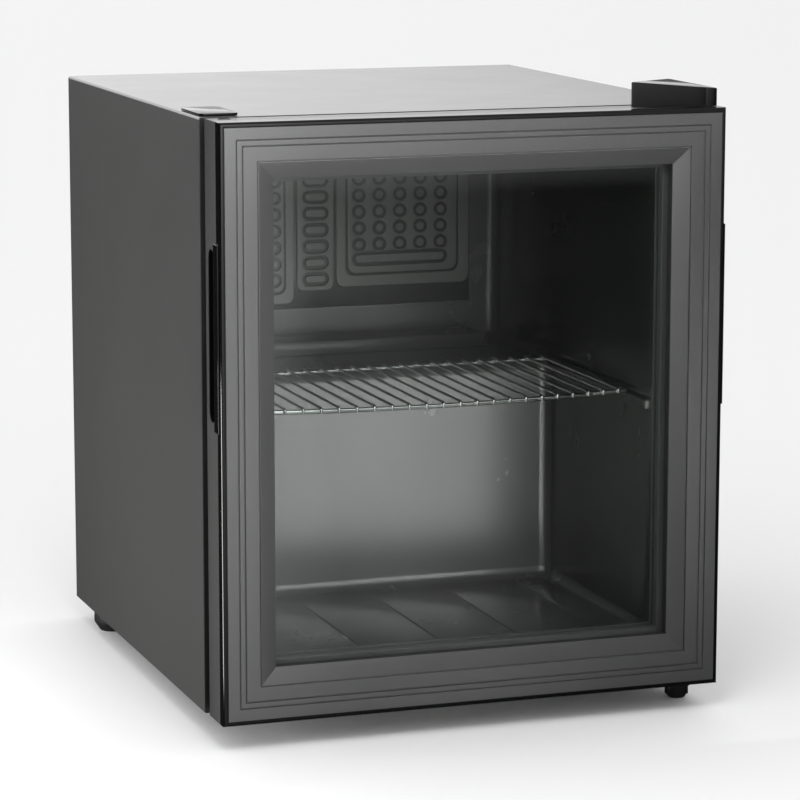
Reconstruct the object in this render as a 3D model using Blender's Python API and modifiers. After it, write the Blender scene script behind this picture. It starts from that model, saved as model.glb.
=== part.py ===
"""Counter-top glass-door mini fridge, in metres, +Z up, standing on z = 0.

The door is at -Y, the condenser and compressor are at +Y, and the hinge is on the right, at +X.
The origin is under the middle of the whole fridge.
"""

import math

import bmesh
import bpy
from mathutils import Matrix, Vector

# Driving dimensions of the cabinet.
WIDTH = 0.430
CABINET_BOTTOM = 0.020
CABINET_TOP = 0.504
CABINET_FRONT = -0.1918
CABINET_BACK = 0.2460
SHEET = 0.001
GAP = 0.0003

# Driving dimensions of the door, whose profile depths are counted back from DOOR_FRONT.
DOOR_FRONT = -0.2460
DOOR_BOTTOM = 0.0216
DOOR_TOP = 0.5046
DOOR_THICK = 0.043
DOOR_SKIN = 0.0025
RIM_DEPTH = 0.0115
HINGE_X = 0.2015
HINGE_Y = DOOR_FRONT + 0.035
PIN_RADIUS = 0.0040
PIN_REACH = 0.012
SCREW_HEAD = 0.0020

# The chilled space, measured on the liner's inner faces.
LINER_WALL = 0.0018
LINER_HALF = 0.180
LINER_FLOOR = 0.0536
LINER_CEILING = 0.474
LINER_FRONT = CABINET_FRONT + 0.0003
LINER_BACK = 0.191
HUMP_FRONT = 0.051
HUMP_TOP = 0.2530
DRAIN_Y = 0.165
LEDGE_TOP = 0.2541
LEDGE_HIGH = 0.009
LEDGE_DEEP = 0.0054
LEDGE_FRONT = -0.176
LEDGE_REAR = 0.046
FLANGE_OUT = 0.192

# The compressor's bay, under the liner's hump.
BAY_FRONT = 0.084
BAY_ROOF = 0.224
BACK_PANEL_Y = 0.219

# The cap over the upper hinge, whose lid slopes down to the right.
COVER_BOTTOM = 0.5050
COVER_TOP = 0.5258
COVER_LOW = 0.5194
COVER_TIP = 0.1388

# The thermostat's knob at the back, and the (x, y) of the two screw-in feet.
KNOB_AT = (-0.120, 0.2302, 0.185)
FRONT_LEFT_FOOT = (-0.185, -0.110)
FRONT_RIGHT_FOOT = (0.1985, -0.1990)

# The wire shelf: its frame's half width, rear, bow and two wire radii.
SHELF_HALF = 0.1735
SHELF_REAR = 0.036
SHELF_BOW = 0.020
FRAME_WIRE = 0.0020
CROSS_WIRE = 0.0012
WELD_SINK = 0.0003
CROSS_PITCH = 0.0149

parts = bpy.data.collections.new("mini_fridge")
cutters = bpy.data.collections.new("cutters")
materials = {}


# ---------------------------------------------------------------- helpers


def clear_scene():
    """Removes what the startup file holds, and links the two collections."""
    for obj in list(bpy.data.objects):
        bpy.data.objects.remove(obj)
    for collection in (parts, cutters):
        bpy.context.scene.collection.children.link(collection)


def material(name, color, roughness, metallic=0.0, alpha=1.0):
    """A Principled material, made once for each name."""
    made = bpy.data.materials.new(name)
    made.use_nodes = True
    shader = made.node_tree.nodes["Principled BSDF"]
    shader.inputs["Base Color"].default_value = (*color, 1.0)
    shader.inputs["Roughness"].default_value = roughness
    shader.inputs["Metallic"].default_value = metallic
    shader.inputs["Alpha"].default_value = alpha
    materials[name] = made


def make_materials():
    material("painted_steel", (0.075, 0.075, 0.075), 0.35, 0.3)
    material("satin_trim", (0.12, 0.12, 0.12), 0.4)
    material("gloss_black", (0.012, 0.012, 0.012), 0.12)
    material("matte_black", (0.02, 0.02, 0.02), 0.6)
    material("liner_plastic", (0.05, 0.05, 0.05), 0.25)
    material("foam", (0.75, 0.66, 0.42), 0.9)
    material("glass", (0.8, 0.85, 0.83), 0.02, 0.0, 0.25)
    material("spacer_metal", (0.16, 0.16, 0.16), 0.4, 0.6)
    material("gasket_rubber", (0.01, 0.01, 0.01), 0.7)
    material("chrome_wire", (0.75, 0.75, 0.75), 0.15, 1.0)
    material("zinc_steel", (0.55, 0.55, 0.55), 0.3, 1.0)
    material("evaporator_aluminium", (0.3, 0.3, 0.3), 0.45, 0.5)
    material("copper", (0.7, 0.33, 0.2), 0.25, 1.0)


def add(name, mesh, finish, at=(0, 0, 0), parent=None, cutter=False):
    """An object for a mesh whose own origin goes to the point at, under an optional parent."""
    obj = bpy.data.objects.new(name, mesh)
    (cutters if cutter else parts).objects.link(obj)
    obj.location = Vector(at)
    if parent:
        obj.parent = parent
        obj.location -= parent.location
    if cutter:
        obj.hide_render = True
        obj.display_type = "WIRE"
    else:
        mesh.materials.append(materials[finish])
    return obj


def pivot(name, at):
    """An empty on a joint's axis."""
    empty = bpy.data.objects.new(name, None)
    parts.objects.link(empty)
    empty.location = at
    return empty


def mesh_of(name, bm):
    mesh = bpy.data.meshes.new(name)
    bm.to_mesh(mesh)
    bm.free()
    return mesh


def box(name, low, high, finish, parent=None, cutter=False, bevel=0.0, segments=2):
    """A box between two corners, its origin at its middle, with edges rounded by bevel."""
    low, high = Vector(low), Vector(high)
    bm = bmesh.new()
    bmesh.ops.create_cube(bm, size=1, matrix=Matrix.Diagonal((*(high - low), 1)))
    obj = add(name, mesh_of(name, bm), finish, (low + high) / 2, parent, cutter)
    if bevel:
        round_edges(obj, bevel, segments)
    return obj


def round_edges(obj, width, segments=2):
    modifier = obj.modifiers.new("edges", "BEVEL")
    modifier.width = width
    modifier.segments = segments
    modifier.limit_method = "ANGLE"
    modifier.angle_limit = math.radians(40)


def cylinder(name, radius, start, end, finish, parent=None, cutter=False, top=None, sides=24):
    """A cylinder or cone from start to end, with its origin at start."""
    start, end = Vector(start), Vector(end)
    along = end - start
    turn = Vector((0, 0, 1)).rotation_difference(along).to_matrix().to_4x4()
    lift = Matrix.Translation((0, 0, along.length / 2))
    bm = bmesh.new()
    bmesh.ops.create_cone(
        bm,
        cap_ends=True,
        segments=sides,
        radius1=radius,
        radius2=radius if top is None else top,
        depth=along.length,
        matrix=turn @ lift,
    )
    obj = add(name, mesh_of(name, bm), finish, start, parent, cutter)
    if not cutter:
        obj.data.shade_smooth()
        obj.data.set_sharp_from_angle(angle=math.radians(35))
    return obj


def turned(name, profile, finish, at, parent=None, sides=24):
    """A solid of revolution about Z: a profile of (radius, height) from its top to its foot."""
    bm = bmesh.new()
    ring = [bm.verts.new((radius, 0, height)) for radius, height in profile]
    for upper, lower in zip(ring, ring[1:]):
        bm.edges.new((upper, lower))
    obj = add(name, mesh_of(name, bm), finish, at, parent)
    screw = obj.modifiers.new("turn", "SCREW")
    screw.steps = sides
    screw.render_steps = sides
    screw.use_merge_vertices = True
    screw.merge_threshold = 0.00001
    screw.use_smooth_shade = True
    return obj


def cut(obj, *others):
    """Takes each cutter out of obj."""
    for other in others:
        modifier = obj.modifiers.new("cut", "BOOLEAN")
        modifier.operation = "DIFFERENCE"
        modifier.object = other


def unite(obj, other):
    """Joins other to obj as one body, and keeps other out of the parts."""
    other.hide_render = True
    other.display_type = "WIRE"
    for collection in list(other.users_collection):
        collection.objects.unlink(other)
    cutters.objects.link(other)
    modifier = obj.modifiers.new("join", "BOOLEAN")
    modifier.operation = "UNION"
    modifier.object = other


def prism(name, outline, bottom, top, finish, parent=None, at=None, cutter=False):
    """An upright prism: a flat outline of (x, y) points, extruded from bottom to top."""
    at = Vector(at or (0, 0, bottom))
    bm = bmesh.new()
    face = bm.faces.new([bm.verts.new(Vector((x, y, bottom)) - at) for x, y in outline])
    raised = bmesh.ops.extrude_face_region(bm, geom=[face])["geom"]
    upper = [v for v in raised if isinstance(v, bmesh.types.BMVert)]
    bmesh.ops.translate(bm, verts=upper, vec=(0, 0, top - bottom))
    bmesh.ops.recalc_face_normals(bm, faces=bm.faces)
    return add(name, mesh_of(name, bm), finish, at, parent, cutter)


def moulding(name, profile, finish, parent, low, high):
    """A mitred rectangular frame whose section is a closed list of (inset, depth) points.

    Inset is counted in from the rectangle low to high in X and Z, and depth back from DOOR_FRONT.
    """
    middle = Vector(((low[0] + high[0]) / 2, DOOR_FRONT, (low[1] + high[1]) / 2))
    half_x, half_z = (high[0] - low[0]) / 2, (high[1] - low[1]) / 2
    bm = bmesh.new()
    loops = []
    for inset, depth in profile:
        x, z = half_x - inset, half_z - inset
        corners = ((-x, -z), (x, -z), (x, z), (-x, z))
        loops.append([bm.verts.new((cx, depth, cz)) for cx, cz in corners])
    for this, following in zip(loops, loops[1:] + loops[:1]):
        for i in range(4):
            j = (i + 1) % 4
            bm.faces.new((this[i], this[j], following[j], following[i]))
    bmesh.ops.recalc_face_normals(bm, faces=bm.faces)
    return add(name, mesh_of(name, bm), finish, middle, parent)


def bent_sheet(name, path, axis, start, end, thick, finish, cutter=False):
    """A folded sheet: a path of flat points swept along X or Y, then given its thickness.

    For axis Y the path holds (x, z) points; for axis X it holds (y, z) points. The sheet
    thickens to the left of the path's direction when it is seen from the axis's far end.
    """
    bm = bmesh.new()
    if axis == "Y":
        near = [bm.verts.new((x, start, z)) for x, z in path]
        step = (0, end - start, 0)
    else:
        near = [bm.verts.new((start, y, z)) for y, z in path]
        step = (end - start, 0, 0)
    edges = [bm.edges.new(pair) for pair in zip(near, near[1:])]
    made = bmesh.ops.extrude_edge_only(bm, edges=edges)["geom"]
    far = [v for v in made if isinstance(v, bmesh.types.BMVert)]
    bmesh.ops.translate(bm, verts=far, vec=step)
    obj = add(name, mesh_of(name, bm), finish, cutter=cutter)
    solid = obj.modifiers.new("thickness", "SOLIDIFY")
    solid.thickness = thick
    solid.offset = -1
    solid.use_even_offset = True
    return obj


def arc(centre, radius, start, end, steps):
    """Points on an arc, from start to end in degrees."""
    points = []
    for i in range(steps + 1):
        angle = math.radians(start + (end - start) * i / steps)
        points.append(
            (centre[0] + radius * math.cos(angle), centre[1] + radius * math.sin(angle))
        )
    return points


def rounded_outline(low, high, radius, steps=4):
    """A rectangle of (x, y) points with round corners."""
    (x0, y0), (x1, y1) = low, high
    outline = []
    for cx, cy, start in (
        (x1 - radius, y1 - radius, 0),
        (x0 + radius, y1 - radius, 90),
        (x0 + radius, y0 + radius, 180),
        (x1 - radius, y0 + radius, 270),
    ):
        outline += arc((cx, cy), radius, start, start + 90, steps)
    return outline


def tube(name, points, radius, finish, closed=False, parent=None, at=(0, 0, 0), resolution=2):
    """A round wire or pipe along a list of points, as a curve with filled ends."""
    curve = bpy.data.curves.new(name, "CURVE")
    curve.dimensions = "3D"
    curve.bevel_depth = radius
    curve.bevel_resolution = resolution
    curve.use_fill_caps = not closed
    spline = curve.splines.new("POLY")
    spline.points.add(len(points) - 1)
    spline.use_cyclic_u = closed
    for point, place in zip(spline.points, points):
        point.co = (*(Vector(place) - Vector(at)), 1)
    return add(name, curve, finish, at, parent)


def as_mesh(obj):
    """The same piece as a mesh with its caps welded, ready for a Boolean."""
    graph = bpy.context.evaluated_depsgraph_get()
    mesh = bpy.data.meshes.new_from_object(obj.evaluated_get(graph))
    bm = bmesh.new()
    bm.from_mesh(mesh)
    bmesh.ops.remove_doubles(bm, verts=bm.verts, dist=0.00001)
    bm.to_mesh(mesh)
    bm.free()
    made = bpy.data.objects.new(obj.name + "_mesh", mesh)
    parts.objects.link(made)
    made.parent = obj.parent
    made.location = obj.location
    name = obj.name
    bpy.data.objects.remove(obj)
    made.name = name
    return made


def smooth_path(corners, radius, steps=4):
    """A 3D path through corners, each bend rounded with a quadratic curve."""
    corners = [Vector(c) for c in corners]
    path = [corners[0]]
    for before, here, after in zip(corners, corners[1:], corners[2:]):
        reach = min(radius, (before - here).length / 2, (after - here).length / 2)
        start = here + (before - here).normalized() * reach
        end = here + (after - here).normalized() * reach
        for i in range(steps + 1):
            t = i / steps
            path.append(start * (1 - t) ** 2 + here * 2 * t * (1 - t) + end * t * t)
    path.append(corners[-1])
    return path


# ---------------------------------------------------------------- cabinet


def liner_body(grow, front):
    """The liner's cavity as a closed block from front, stepped for the compressor, grown by grow."""
    side = [
        (front, LINER_FLOOR - grow),
        (HUMP_FRONT + grow, LINER_FLOOR - grow),
        (HUMP_FRONT + grow, HUMP_TOP - grow),
        (LINER_BACK + grow, HUMP_TOP - grow),
        (LINER_BACK + grow, LINER_CEILING + grow),
        (front, LINER_CEILING + grow),
    ]
    half = LINER_HALF + grow
    bm = bmesh.new()
    face = bm.faces.new([bm.verts.new((-half, y, z)) for y, z in side])
    raised = bmesh.ops.extrude_face_region(bm, geom=[face])["geom"]
    right = [v for v in raised if isinstance(v, bmesh.types.BMVert)]
    bmesh.ops.translate(bm, verts=right, vec=(2 * half, 0, 0))
    bmesh.ops.recalc_face_normals(bm, faces=bm.faces)
    inner = [
        edge
        for edge in bm.edges
        if not all(abs(v.co.y - front) < 1e-6 for v in edge.verts)
    ]
    bmesh.ops.bevel(
        bm,
        geom=inner,
        offset=0.010 + grow,
        segments=3,
        profile=0.5,
        affect="EDGES",
        material=-1,
        clamp_overlap=True,
    )
    return bm


def make_liner():
    """The vacuum-formed inner liner: an open tub with a front flange and two shelf ledges."""
    bm = liner_body(0.0, LINER_FRONT)
    mouth = [f for f in bm.faces if all(abs(v.co.y - LINER_FRONT) < 1e-6 for v in f.verts)]
    bmesh.ops.delete(bm, geom=mouth, context="FACES")
    rim = [e for e in bm.edges if e.is_boundary]
    made = bmesh.ops.extrude_edge_only(bm, edges=rim)["geom"]
    centre_z = (LINER_FLOOR + LINER_CEILING) / 2
    reach = FLANGE_OUT - LINER_HALF
    for vert in (v for v in made if isinstance(v, bmesh.types.BMVert)):
        vert.co.x += math.copysign(reach, vert.co.x)
        vert.co.z += math.copysign(reach, vert.co.z - centre_z)
    bmesh.ops.recalc_face_normals(bm, faces=bm.faces)
    liner = add("inner_liner", mesh_of("inner_liner", bm), "liner_plastic")
    solid = liner.modifiers.new("thickness", "SOLIDIFY")
    solid.thickness = LINER_WALL
    solid.offset = -1
    solid.use_even_offset = True
    for sign in (-1, 1):
        left, right = sorted((sign * (LINER_HALF - LEDGE_DEEP), sign * (LINER_HALF + LINER_WALL / 2)))
        ledge = box(
            f"shelf_ledge_{sign}",
            (left, LEDGE_FRONT, LEDGE_TOP - LEDGE_HIGH),
            (right, LEDGE_REAR, LEDGE_TOP),
            "liner_plastic",
            bevel=0.002,
        )
        unite(liner, ledge)
    cut(liner, drain_cutter())


def drain_cutter():
    """The drain's path through the hump of the liner and the foam under it."""
    name = "drain_cutter"
    if name in bpy.data.objects:
        return bpy.data.objects[name]
    return cylinder(
        name, 0.0068, (0, DRAIN_Y, 0.200), (0, DRAIN_Y, 0.270), None, cutter=True, sides=16
    )


def make_shell():
    """The wrap-round sheet of the sides and top, the base plate and the rear panels."""
    half = WIDTH / 2
    bend = 0.002
    path = [(-half, CABINET_BOTTOM), (-half, CABINET_TOP - bend)]
    path += arc((-half + bend, CABINET_TOP - bend), bend, 180, 90, 3)[1:]
    path += arc((half - bend, CABINET_TOP - bend), bend, 90, 0, 3)
    path += [(half, CABINET_BOTTOM)]
    bent_sheet(
        "outer_shell", path, "Y", CABINET_FRONT + 0.0022, CABINET_BACK, -SHEET, "painted_steel"
    )
    inner = half - SHEET - GAP
    base = box(
        "base_plate",
        (-inner, CABINET_FRONT + 0.0022, CABINET_BOTTOM),
        (inner, CABINET_BACK, CABINET_BOTTOM + 0.0012),
        "zinc_steel",
    )
    cut(base, foot_stud_cutter(*FRONT_LEFT_FOOT))
    bent_sheet(
        "compressor_bulkhead",
        [
            (BAY_FRONT, CABINET_BOTTOM + 0.0016),
            (BAY_FRONT, BAY_ROOF),
            (BACK_PANEL_Y + 0.012, BAY_ROOF),
        ],
        "X",
        -inner,
        inner,
        SHEET,
        "zinc_steel",
    )
    cut(bpy.data.objects["compressor_bulkhead"], drain_cutter())
    box(
        "back_panel",
        (-inner, BACK_PANEL_Y, BAY_ROOF + GAP),
        (inner, BACK_PANEL_Y + SHEET, CABINET_TOP - SHEET - GAP),
        "zinc_steel",
    )


def make_front_flange():
    """The steel ring that the door's magnets close on, round the liner's flange."""
    half = WIDTH / 2
    ring = box(
        "front_flange",
        (-half, CABINET_FRONT, CABINET_BOTTOM),
        (half, CABINET_FRONT + 0.0019, CABINET_TOP),
        "matte_black",
    )
    reach = FLANGE_OUT - LINER_HALF + GAP
    hole = box(
        "flange_hole",
        (-FLANGE_OUT - GAP, CABINET_FRONT - 0.01, LINER_FLOOR - reach),
        (FLANGE_OUT + GAP, CABINET_FRONT + 0.01, LINER_CEILING + reach),
        None,
        cutter=True,
    )
    cut(ring, hole)


def make_foam():
    """The poured foam between the shell, the liner, the bulkhead and the rear panel."""
    inner = WIDTH / 2 - SHEET - 2 * GAP
    floor = CABINET_BOTTOM + 0.0012 + GAP
    foam = box(
        "foam_insulation",
        (-inner, CABINET_FRONT + 0.0026, floor),
        (inner, BACK_PANEL_Y - GAP, CABINET_TOP - SHEET - 2 * GAP),
        "foam",
    )
    bm = liner_body(LINER_WALL + 2 * GAP, LINER_FRONT - 0.01)
    core = add("foam_core", mesh_of("foam_core", bm), None, cutter=True)
    bay = box(
        "foam_bay",
        (-0.3, BAY_FRONT - 2 * GAP, 0.0),
        (0.3, 0.3, BAY_ROOF + GAP),
        None,
        cutter=True,
    )
    cut(foam, core, bay, drain_cutter(), foot_stud_cutter(*FRONT_LEFT_FOOT))


def make_drain():
    """Melt water runs from a gutter under the evaporator, down a tube, into a pan."""
    gutter = box(
        "drip_gutter", (-0.150, 0.141, HUMP_TOP + GAP), (0.150, 0.1805, 0.266), "liner_plastic"
    )
    trough = box("gutter_trough", (-0.147, 0.144, 0.2555), (0.147, 0.1775, 0.3), None, cutter=True)
    spout = cylinder(
        "gutter_spout", 0.0035, (0, DRAIN_Y, 0.2), (0, DRAIN_Y, 0.3), None, cutter=True, sides=16
    )
    cut(gutter, trough, spout)
    pipe = cylinder(
        "drain_tube", 0.0062, (0, DRAIN_Y, 0.212), (0, DRAIN_Y, HUMP_TOP - 0.0002), "matte_black"
    )
    bore = cylinder(
        "drain_bore", 0.0045, (0, DRAIN_Y, 0.15), (0, DRAIN_Y, 0.3), None, cutter=True, sides=16
    )
    cut(pipe, bore)
    pan = box("evaporation_pan", (-0.055, 0.108, 0.183), (0.055, 0.212, 0.203), "matte_black")
    basin = box("pan_basin", (-0.053, 0.110, 0.185), (0.053, 0.210, 0.3), None, cutter=True)
    cut(pan, basin)


# ---------------------------------------------------------------- cooling circuit


def make_evaporator():
    """A roll-bonded aluminium plate with three raised fields, on four standoffs."""
    front, back = 0.1840, 0.1856
    plate = box(
        "evaporator_plate", (-0.150, front, 0.290), (0.150, back, 0.462), "evaporator_aluminium"
    )
    fields = ((-0.0175, 0.0175, 0.3035), (-0.138, -0.0285, 0.3120), (0.0285, 0.138, 0.3120))
    for i, (left, right, bottom) in enumerate(fields):
        field = box(
            f"plate_field_{i}",
            (left, front - 0.0012, bottom),
            (right, front + 0.0006, 0.4575),
            "evaporator_aluminium",
        )
        unite(plate, field)
    for sign, side in ((-1, "left"), (1, "right")):
        box(
            f"evaporator_{side}_spacer",
            (sign * 0.144 - 0.004, back + GAP, 0.300),
            (sign * 0.144 + 0.004, LINER_BACK - GAP, 0.452),
            "matte_black",
        )


def make_compressor():
    """The hermetic compressor: a two-part welded pot on a base plate and rubber grommets."""
    centre = Vector((0.020, 0.160, 0))
    pot = turned(
        "compressor_pot",
        [
            (0.0, 0.172),
            (0.030, 0.168),
            (0.048, 0.152),
            (0.055, 0.128),
            (0.0555, 0.112),
            (0.0595, 0.111),
            (0.0595, 0.105),
            (0.0555, 0.104),
            (0.054, 0.072),
            (0.044, 0.050),
            (0.0, 0.0435),
        ],
        "matte_black",
        centre,
        sides=32,
    )
    plate = box(
        "compressor_base",
        (centre.x - 0.085, centre.y - 0.050, 0.0385),
        (centre.x + 0.085, centre.y + 0.050, 0.0412),
        "matte_black",
        bevel=0.001,
    )
    number = 0
    for dx in (-0.072, 0.072):
        for dy in (-0.037, 0.037):
            number += 1
            x, y = centre.x + dx, centre.y + dy
            floor = CABINET_BOTTOM + 0.0012 + GAP
            hole = cylinder(
                f"grommet_hole_{number}",
                0.0065,
                (x, y, 0.03),
                (x, y, 0.05),
                None,
                cutter=True,
                sides=16,
            )
            cut(plate, hole)
            turned(
                f"compressor_grommet_{number}",
                [
                    (0.0, 0.046),
                    (0.008, 0.046),
                    (0.008, 0.0416),
                    (0.0060, 0.0416),
                    (0.0060, 0.0381),
                    (0.010, 0.0381),
                    (0.0085, 0.030),
                    (0.010, floor),
                    (0.0, floor),
                ],
                "gasket_rubber",
                (x, y, 0),
                sides=16,
            )
    mount = cylinder(
        "compressor_mount",
        0.030,
        (centre.x, centre.y, 0.0415),
        (centre.x, centre.y, 0.060),
        "matte_black",
        top=0.036,
    )
    unite(pot, mount)
    box(
        "terminal_box",
        (centre.x - 0.108, centre.y - 0.025, 0.075),
        (centre.x - 0.0605, centre.y + 0.025, 0.128),
        "matte_black",
        bevel=0.003,
    )


def make_piping():
    """Copper lines from the compressor to the drier and towards the evaporator."""
    tube(
        "suction_line",
        smooth_path(
            [
                (0.052, 0.112, 0.140),
                (0.072, 0.100, 0.150),
                (0.120, 0.100, 0.165),
                (0.120, 0.100, BAY_ROOF - SHEET - GAP),
            ],
            0.015,
        ),
        0.0032,
        "copper",
    )
    tube(
        "discharge_line",
        smooth_path(
            [
                (0.068, 0.186, 0.140),
                (0.095, 0.205, 0.140),
                (0.160, 0.205, 0.150),
                (0.176, 0.222, 0.180),
                (0.176, 0.2355, 0.205),
                (0.176, 0.2355, 0.2435),
            ],
            0.012,
        ),
        0.0025,
        "copper",
    )
    turned(
        "filter_drier",
        [
            (0.0, 0.205),
            (0.003, 0.204),
            (0.0085, 0.196),
            (0.0085, 0.120),
            (0.003, 0.112),
            (0.0, 0.111),
        ],
        "copper",
        (-0.165, 0.2300, 0.0),
        sides=16,
    )
    tube(
        "capillary_tube",
        smooth_path(
            [
                (-0.165, 0.2300, 0.1107),
                (-0.165, 0.2300, 0.095),
                (-0.150, 0.222, 0.085),
                (-0.135, 0.170, 0.100),
                (-0.135, 0.105, 0.130),
                (-0.135, 0.105, BAY_ROOF - SHEET - GAP),
            ],
            0.014,
        ),
        0.0012,
        "copper",
    )


def make_condenser():
    """The black wire-on-tube condenser in the recess behind the back panel."""
    y, reach, runs, rise = 0.2355, 0.158, 7, 0.036
    bend = rise / 2
    first = 0.2580
    path = smooth_path([(reach + bend, y, 0.2440), (reach + bend, y, first), (reach, y, first)], bend)
    for i in range(runs):
        z = first + i * rise
        ahead = -1 if i % 2 == 0 else 1
        path.append(Vector((ahead * reach, y, z)))
        if i < runs - 1:
            path += [
                Vector((ahead * (reach + dx), y, z + bend + dz))
                for dx, dz in arc((0, 0), bend, -90, 90, 6)[1:]
            ]
    coil = as_mesh(tube("condenser", path, 0.0025, "matte_black"))
    wires = bmesh.new()
    low, high = first - 0.010, first + (runs - 1) * rise + 0.010
    count = 15
    for i in range(count):
        x = -0.140 + 0.280 * i / (count - 1)
        bmesh.ops.create_cone(
            wires,
            cap_ends=True,
            segments=6,
            radius1=0.0009,
            radius2=0.0009,
            depth=high - low,
            matrix=Matrix.Translation((x, y + 0.0027, (low + high) / 2)),
        )
    grid = add("condenser_wires", mesh_of("condenser_wires", wires), None, cutter=True)
    unite(coil, grid)
    for sign, side in ((-1, "left"), (1, "right")):
        box(
            f"condenser_{side}_bracket",
            (sign * 0.152 - 0.005, BACK_PANEL_Y + SHEET + GAP, 0.250),
            (sign * 0.152 + 0.005, y - 0.0028, 0.480),
            "matte_black",
        )


# ---------------------------------------------------------------- controls, feet


def make_controls():
    """The thermostat's panel at the back, with its knob and the mains cable's gland."""
    x, y, z = KNOB_AT
    gland_x, gland_z = x + 0.060, 0.150
    panel = box(
        "control_panel",
        (x - 0.035, 0.2270, 0.130),
        (x + 0.085, 0.2295, BAY_ROOF - SHEET - GAP),
        "matte_black",
    )
    shaft_hole = cylinder(
        "knob_hole", 0.0038, (x, 0.22, z), (x, 0.24, z), None, cutter=True, sides=20
    )
    gland_hole = cylinder(
        "gland_hole", 0.0066, (gland_x, 0.22, gland_z), (gland_x, 0.24, gland_z), None, cutter=True
    )
    cut(panel, shaft_hole, gland_hole)
    body = box(
        "thermostat", (x - 0.020, 0.200, z - 0.018), (x + 0.020, 0.2267, z + 0.018), "zinc_steel"
    )
    shaft_room = cylinder(
        "shaft_room", 0.0036, (x, 0.214, z), (x, 0.24, z), None, cutter=True, sides=20
    )
    cut(body, shaft_room)
    turning = pivot("knob_pivot", KNOB_AT)
    knob = cylinder(
        "thermostat_knob",
        0.0155,
        (x, y - 0.0002, z),
        (x, 0.2430, z),
        "gloss_black",
        parent=turning,
        top=0.0140,
        sides=32,
    )
    stem = cylinder("knob_stem", 0.0030, (x, 0.2170, z), (x, 0.2330, z), "gloss_black", sides=20)
    unite(knob, stem)
    pointer = box(
        "knob_pointer", (x - 0.0012, 0.2425, z), (x + 0.0012, 0.2437, z + 0.012), "gloss_black"
    )
    unite(knob, pointer)

    def gland_piece(name, radius, near, far, **options):
        return cylinder(
            name, radius, (gland_x, near, gland_z), (gland_x, far, gland_z), "matte_black", **options
        )

    gland = gland_piece("cable_gland", 0.0062, 0.2235, 0.2310)
    unite(gland, gland_piece("gland_flange", 0.0095, 0.2299, 0.2340))
    cut(gland, gland_piece("gland_bore", 0.0035, 0.21, 0.25, cutter=True))


def foot_stud_cutter(x, y):
    """The clearance hole for a levelling foot's stud."""
    name = f"stud_hole_{x:+.3f}"
    if name in bpy.data.objects:
        return bpy.data.objects[name]
    return cylinder(name, 0.0034, (x, y, 0.010), (x, y, 0.031), None, cutter=True, sides=16)


def levelling_foot(name, x, y, seat, stud):
    """A moulded screw-in foot: a stud above a round flange, and a cone down to the pad."""
    turning = pivot(name + "_pivot", (x, y, 0))
    turned(
        name,
        [
            (0.0, seat + stud),
            (0.0030, seat + stud),
            (0.0030, seat),
            (0.0125, seat),
            (0.0125, seat - 0.0025),
            (0.0092, seat - 0.0085),
            (0.0085, 0.0022),
            (0.0070, 0.0),
            (0.0, 0.0),
        ],
        "gloss_black",
        (x, y, 0),
        parent=turning,
    )


def make_feet():
    levelling_foot("front_left_foot", *FRONT_LEFT_FOOT, CABINET_BOTTOM - GAP, 0.0095)
    levelling_foot("front_right_foot", *FRONT_RIGHT_FOOT, 0.0169, 0.0034)
    seat = CABINET_BOTTOM - GAP
    for sign, side in ((-1, "left"), (1, "right")):
        turned(
            f"rear_{side}_foot",
            [
                (0.0, seat),
                (0.0165, seat),
                (0.0170, seat - 0.0010),
                (0.0170, 0.0080),
                (0.0120, 0.0),
                (0.0, 0.0),
            ],
            "matte_black",
            (sign * 0.195, 0.189, 0),
        )


# ---------------------------------------------------------------- shelf


def make_shelf():
    """The chromed wire shelf: a bowed frame wire with cross wires welded on top."""
    front = SHELF_REAR - 0.176
    z = LEDGE_TOP + GAP + FRAME_WIRE
    sliding = pivot("shelf_slide", (0, SHELF_REAR, z))
    bow = [
        Vector((SHELF_HALF * t, front - SHELF_BOW * (1 - t * t), z))
        for t in [i / 6 for i in range(-6, 7)]
    ]
    loop = [Vector((-SHELF_HALF, SHELF_REAR, z)), *bow, Vector((SHELF_HALF, SHELF_REAR, z))]
    loop += [Vector((SHELF_HALF * (1 - 2 * i / 6), SHELF_REAR, z)) for i in range(1, 6)]
    frame = as_mesh(tube("wire_shelf", loop, FRAME_WIRE, "chrome_wire", closed=True))
    wires = bmesh.new()
    count = 2 * int((SHELF_HALF - 0.004) / CROSS_PITCH) + 1
    for i in range(count):
        x = (i - (count - 1) / 2) * CROSS_PITCH
        near = front - SHELF_BOW * (1 - (x / SHELF_HALF) ** 2) - 0.0005
        far = SHELF_REAR + 0.0005
        bmesh.ops.create_cone(
            wires,
            cap_ends=True,
            segments=6,
            radius1=CROSS_WIRE,
            radius2=CROSS_WIRE,
            depth=far - near,
            matrix=Matrix.Translation((x, (near + far) / 2, z + FRAME_WIRE + CROSS_WIRE - WELD_SINK))
            @ Matrix.Rotation(math.radians(90), 4, "X"),
        )
    grid = add("shelf_wires", mesh_of("shelf_wires", wires), None, cutter=True)
    unite(frame, grid)
    frame.parent = sliding
    frame.location -= sliding.location


# ---------------------------------------------------------------- hinges


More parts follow.
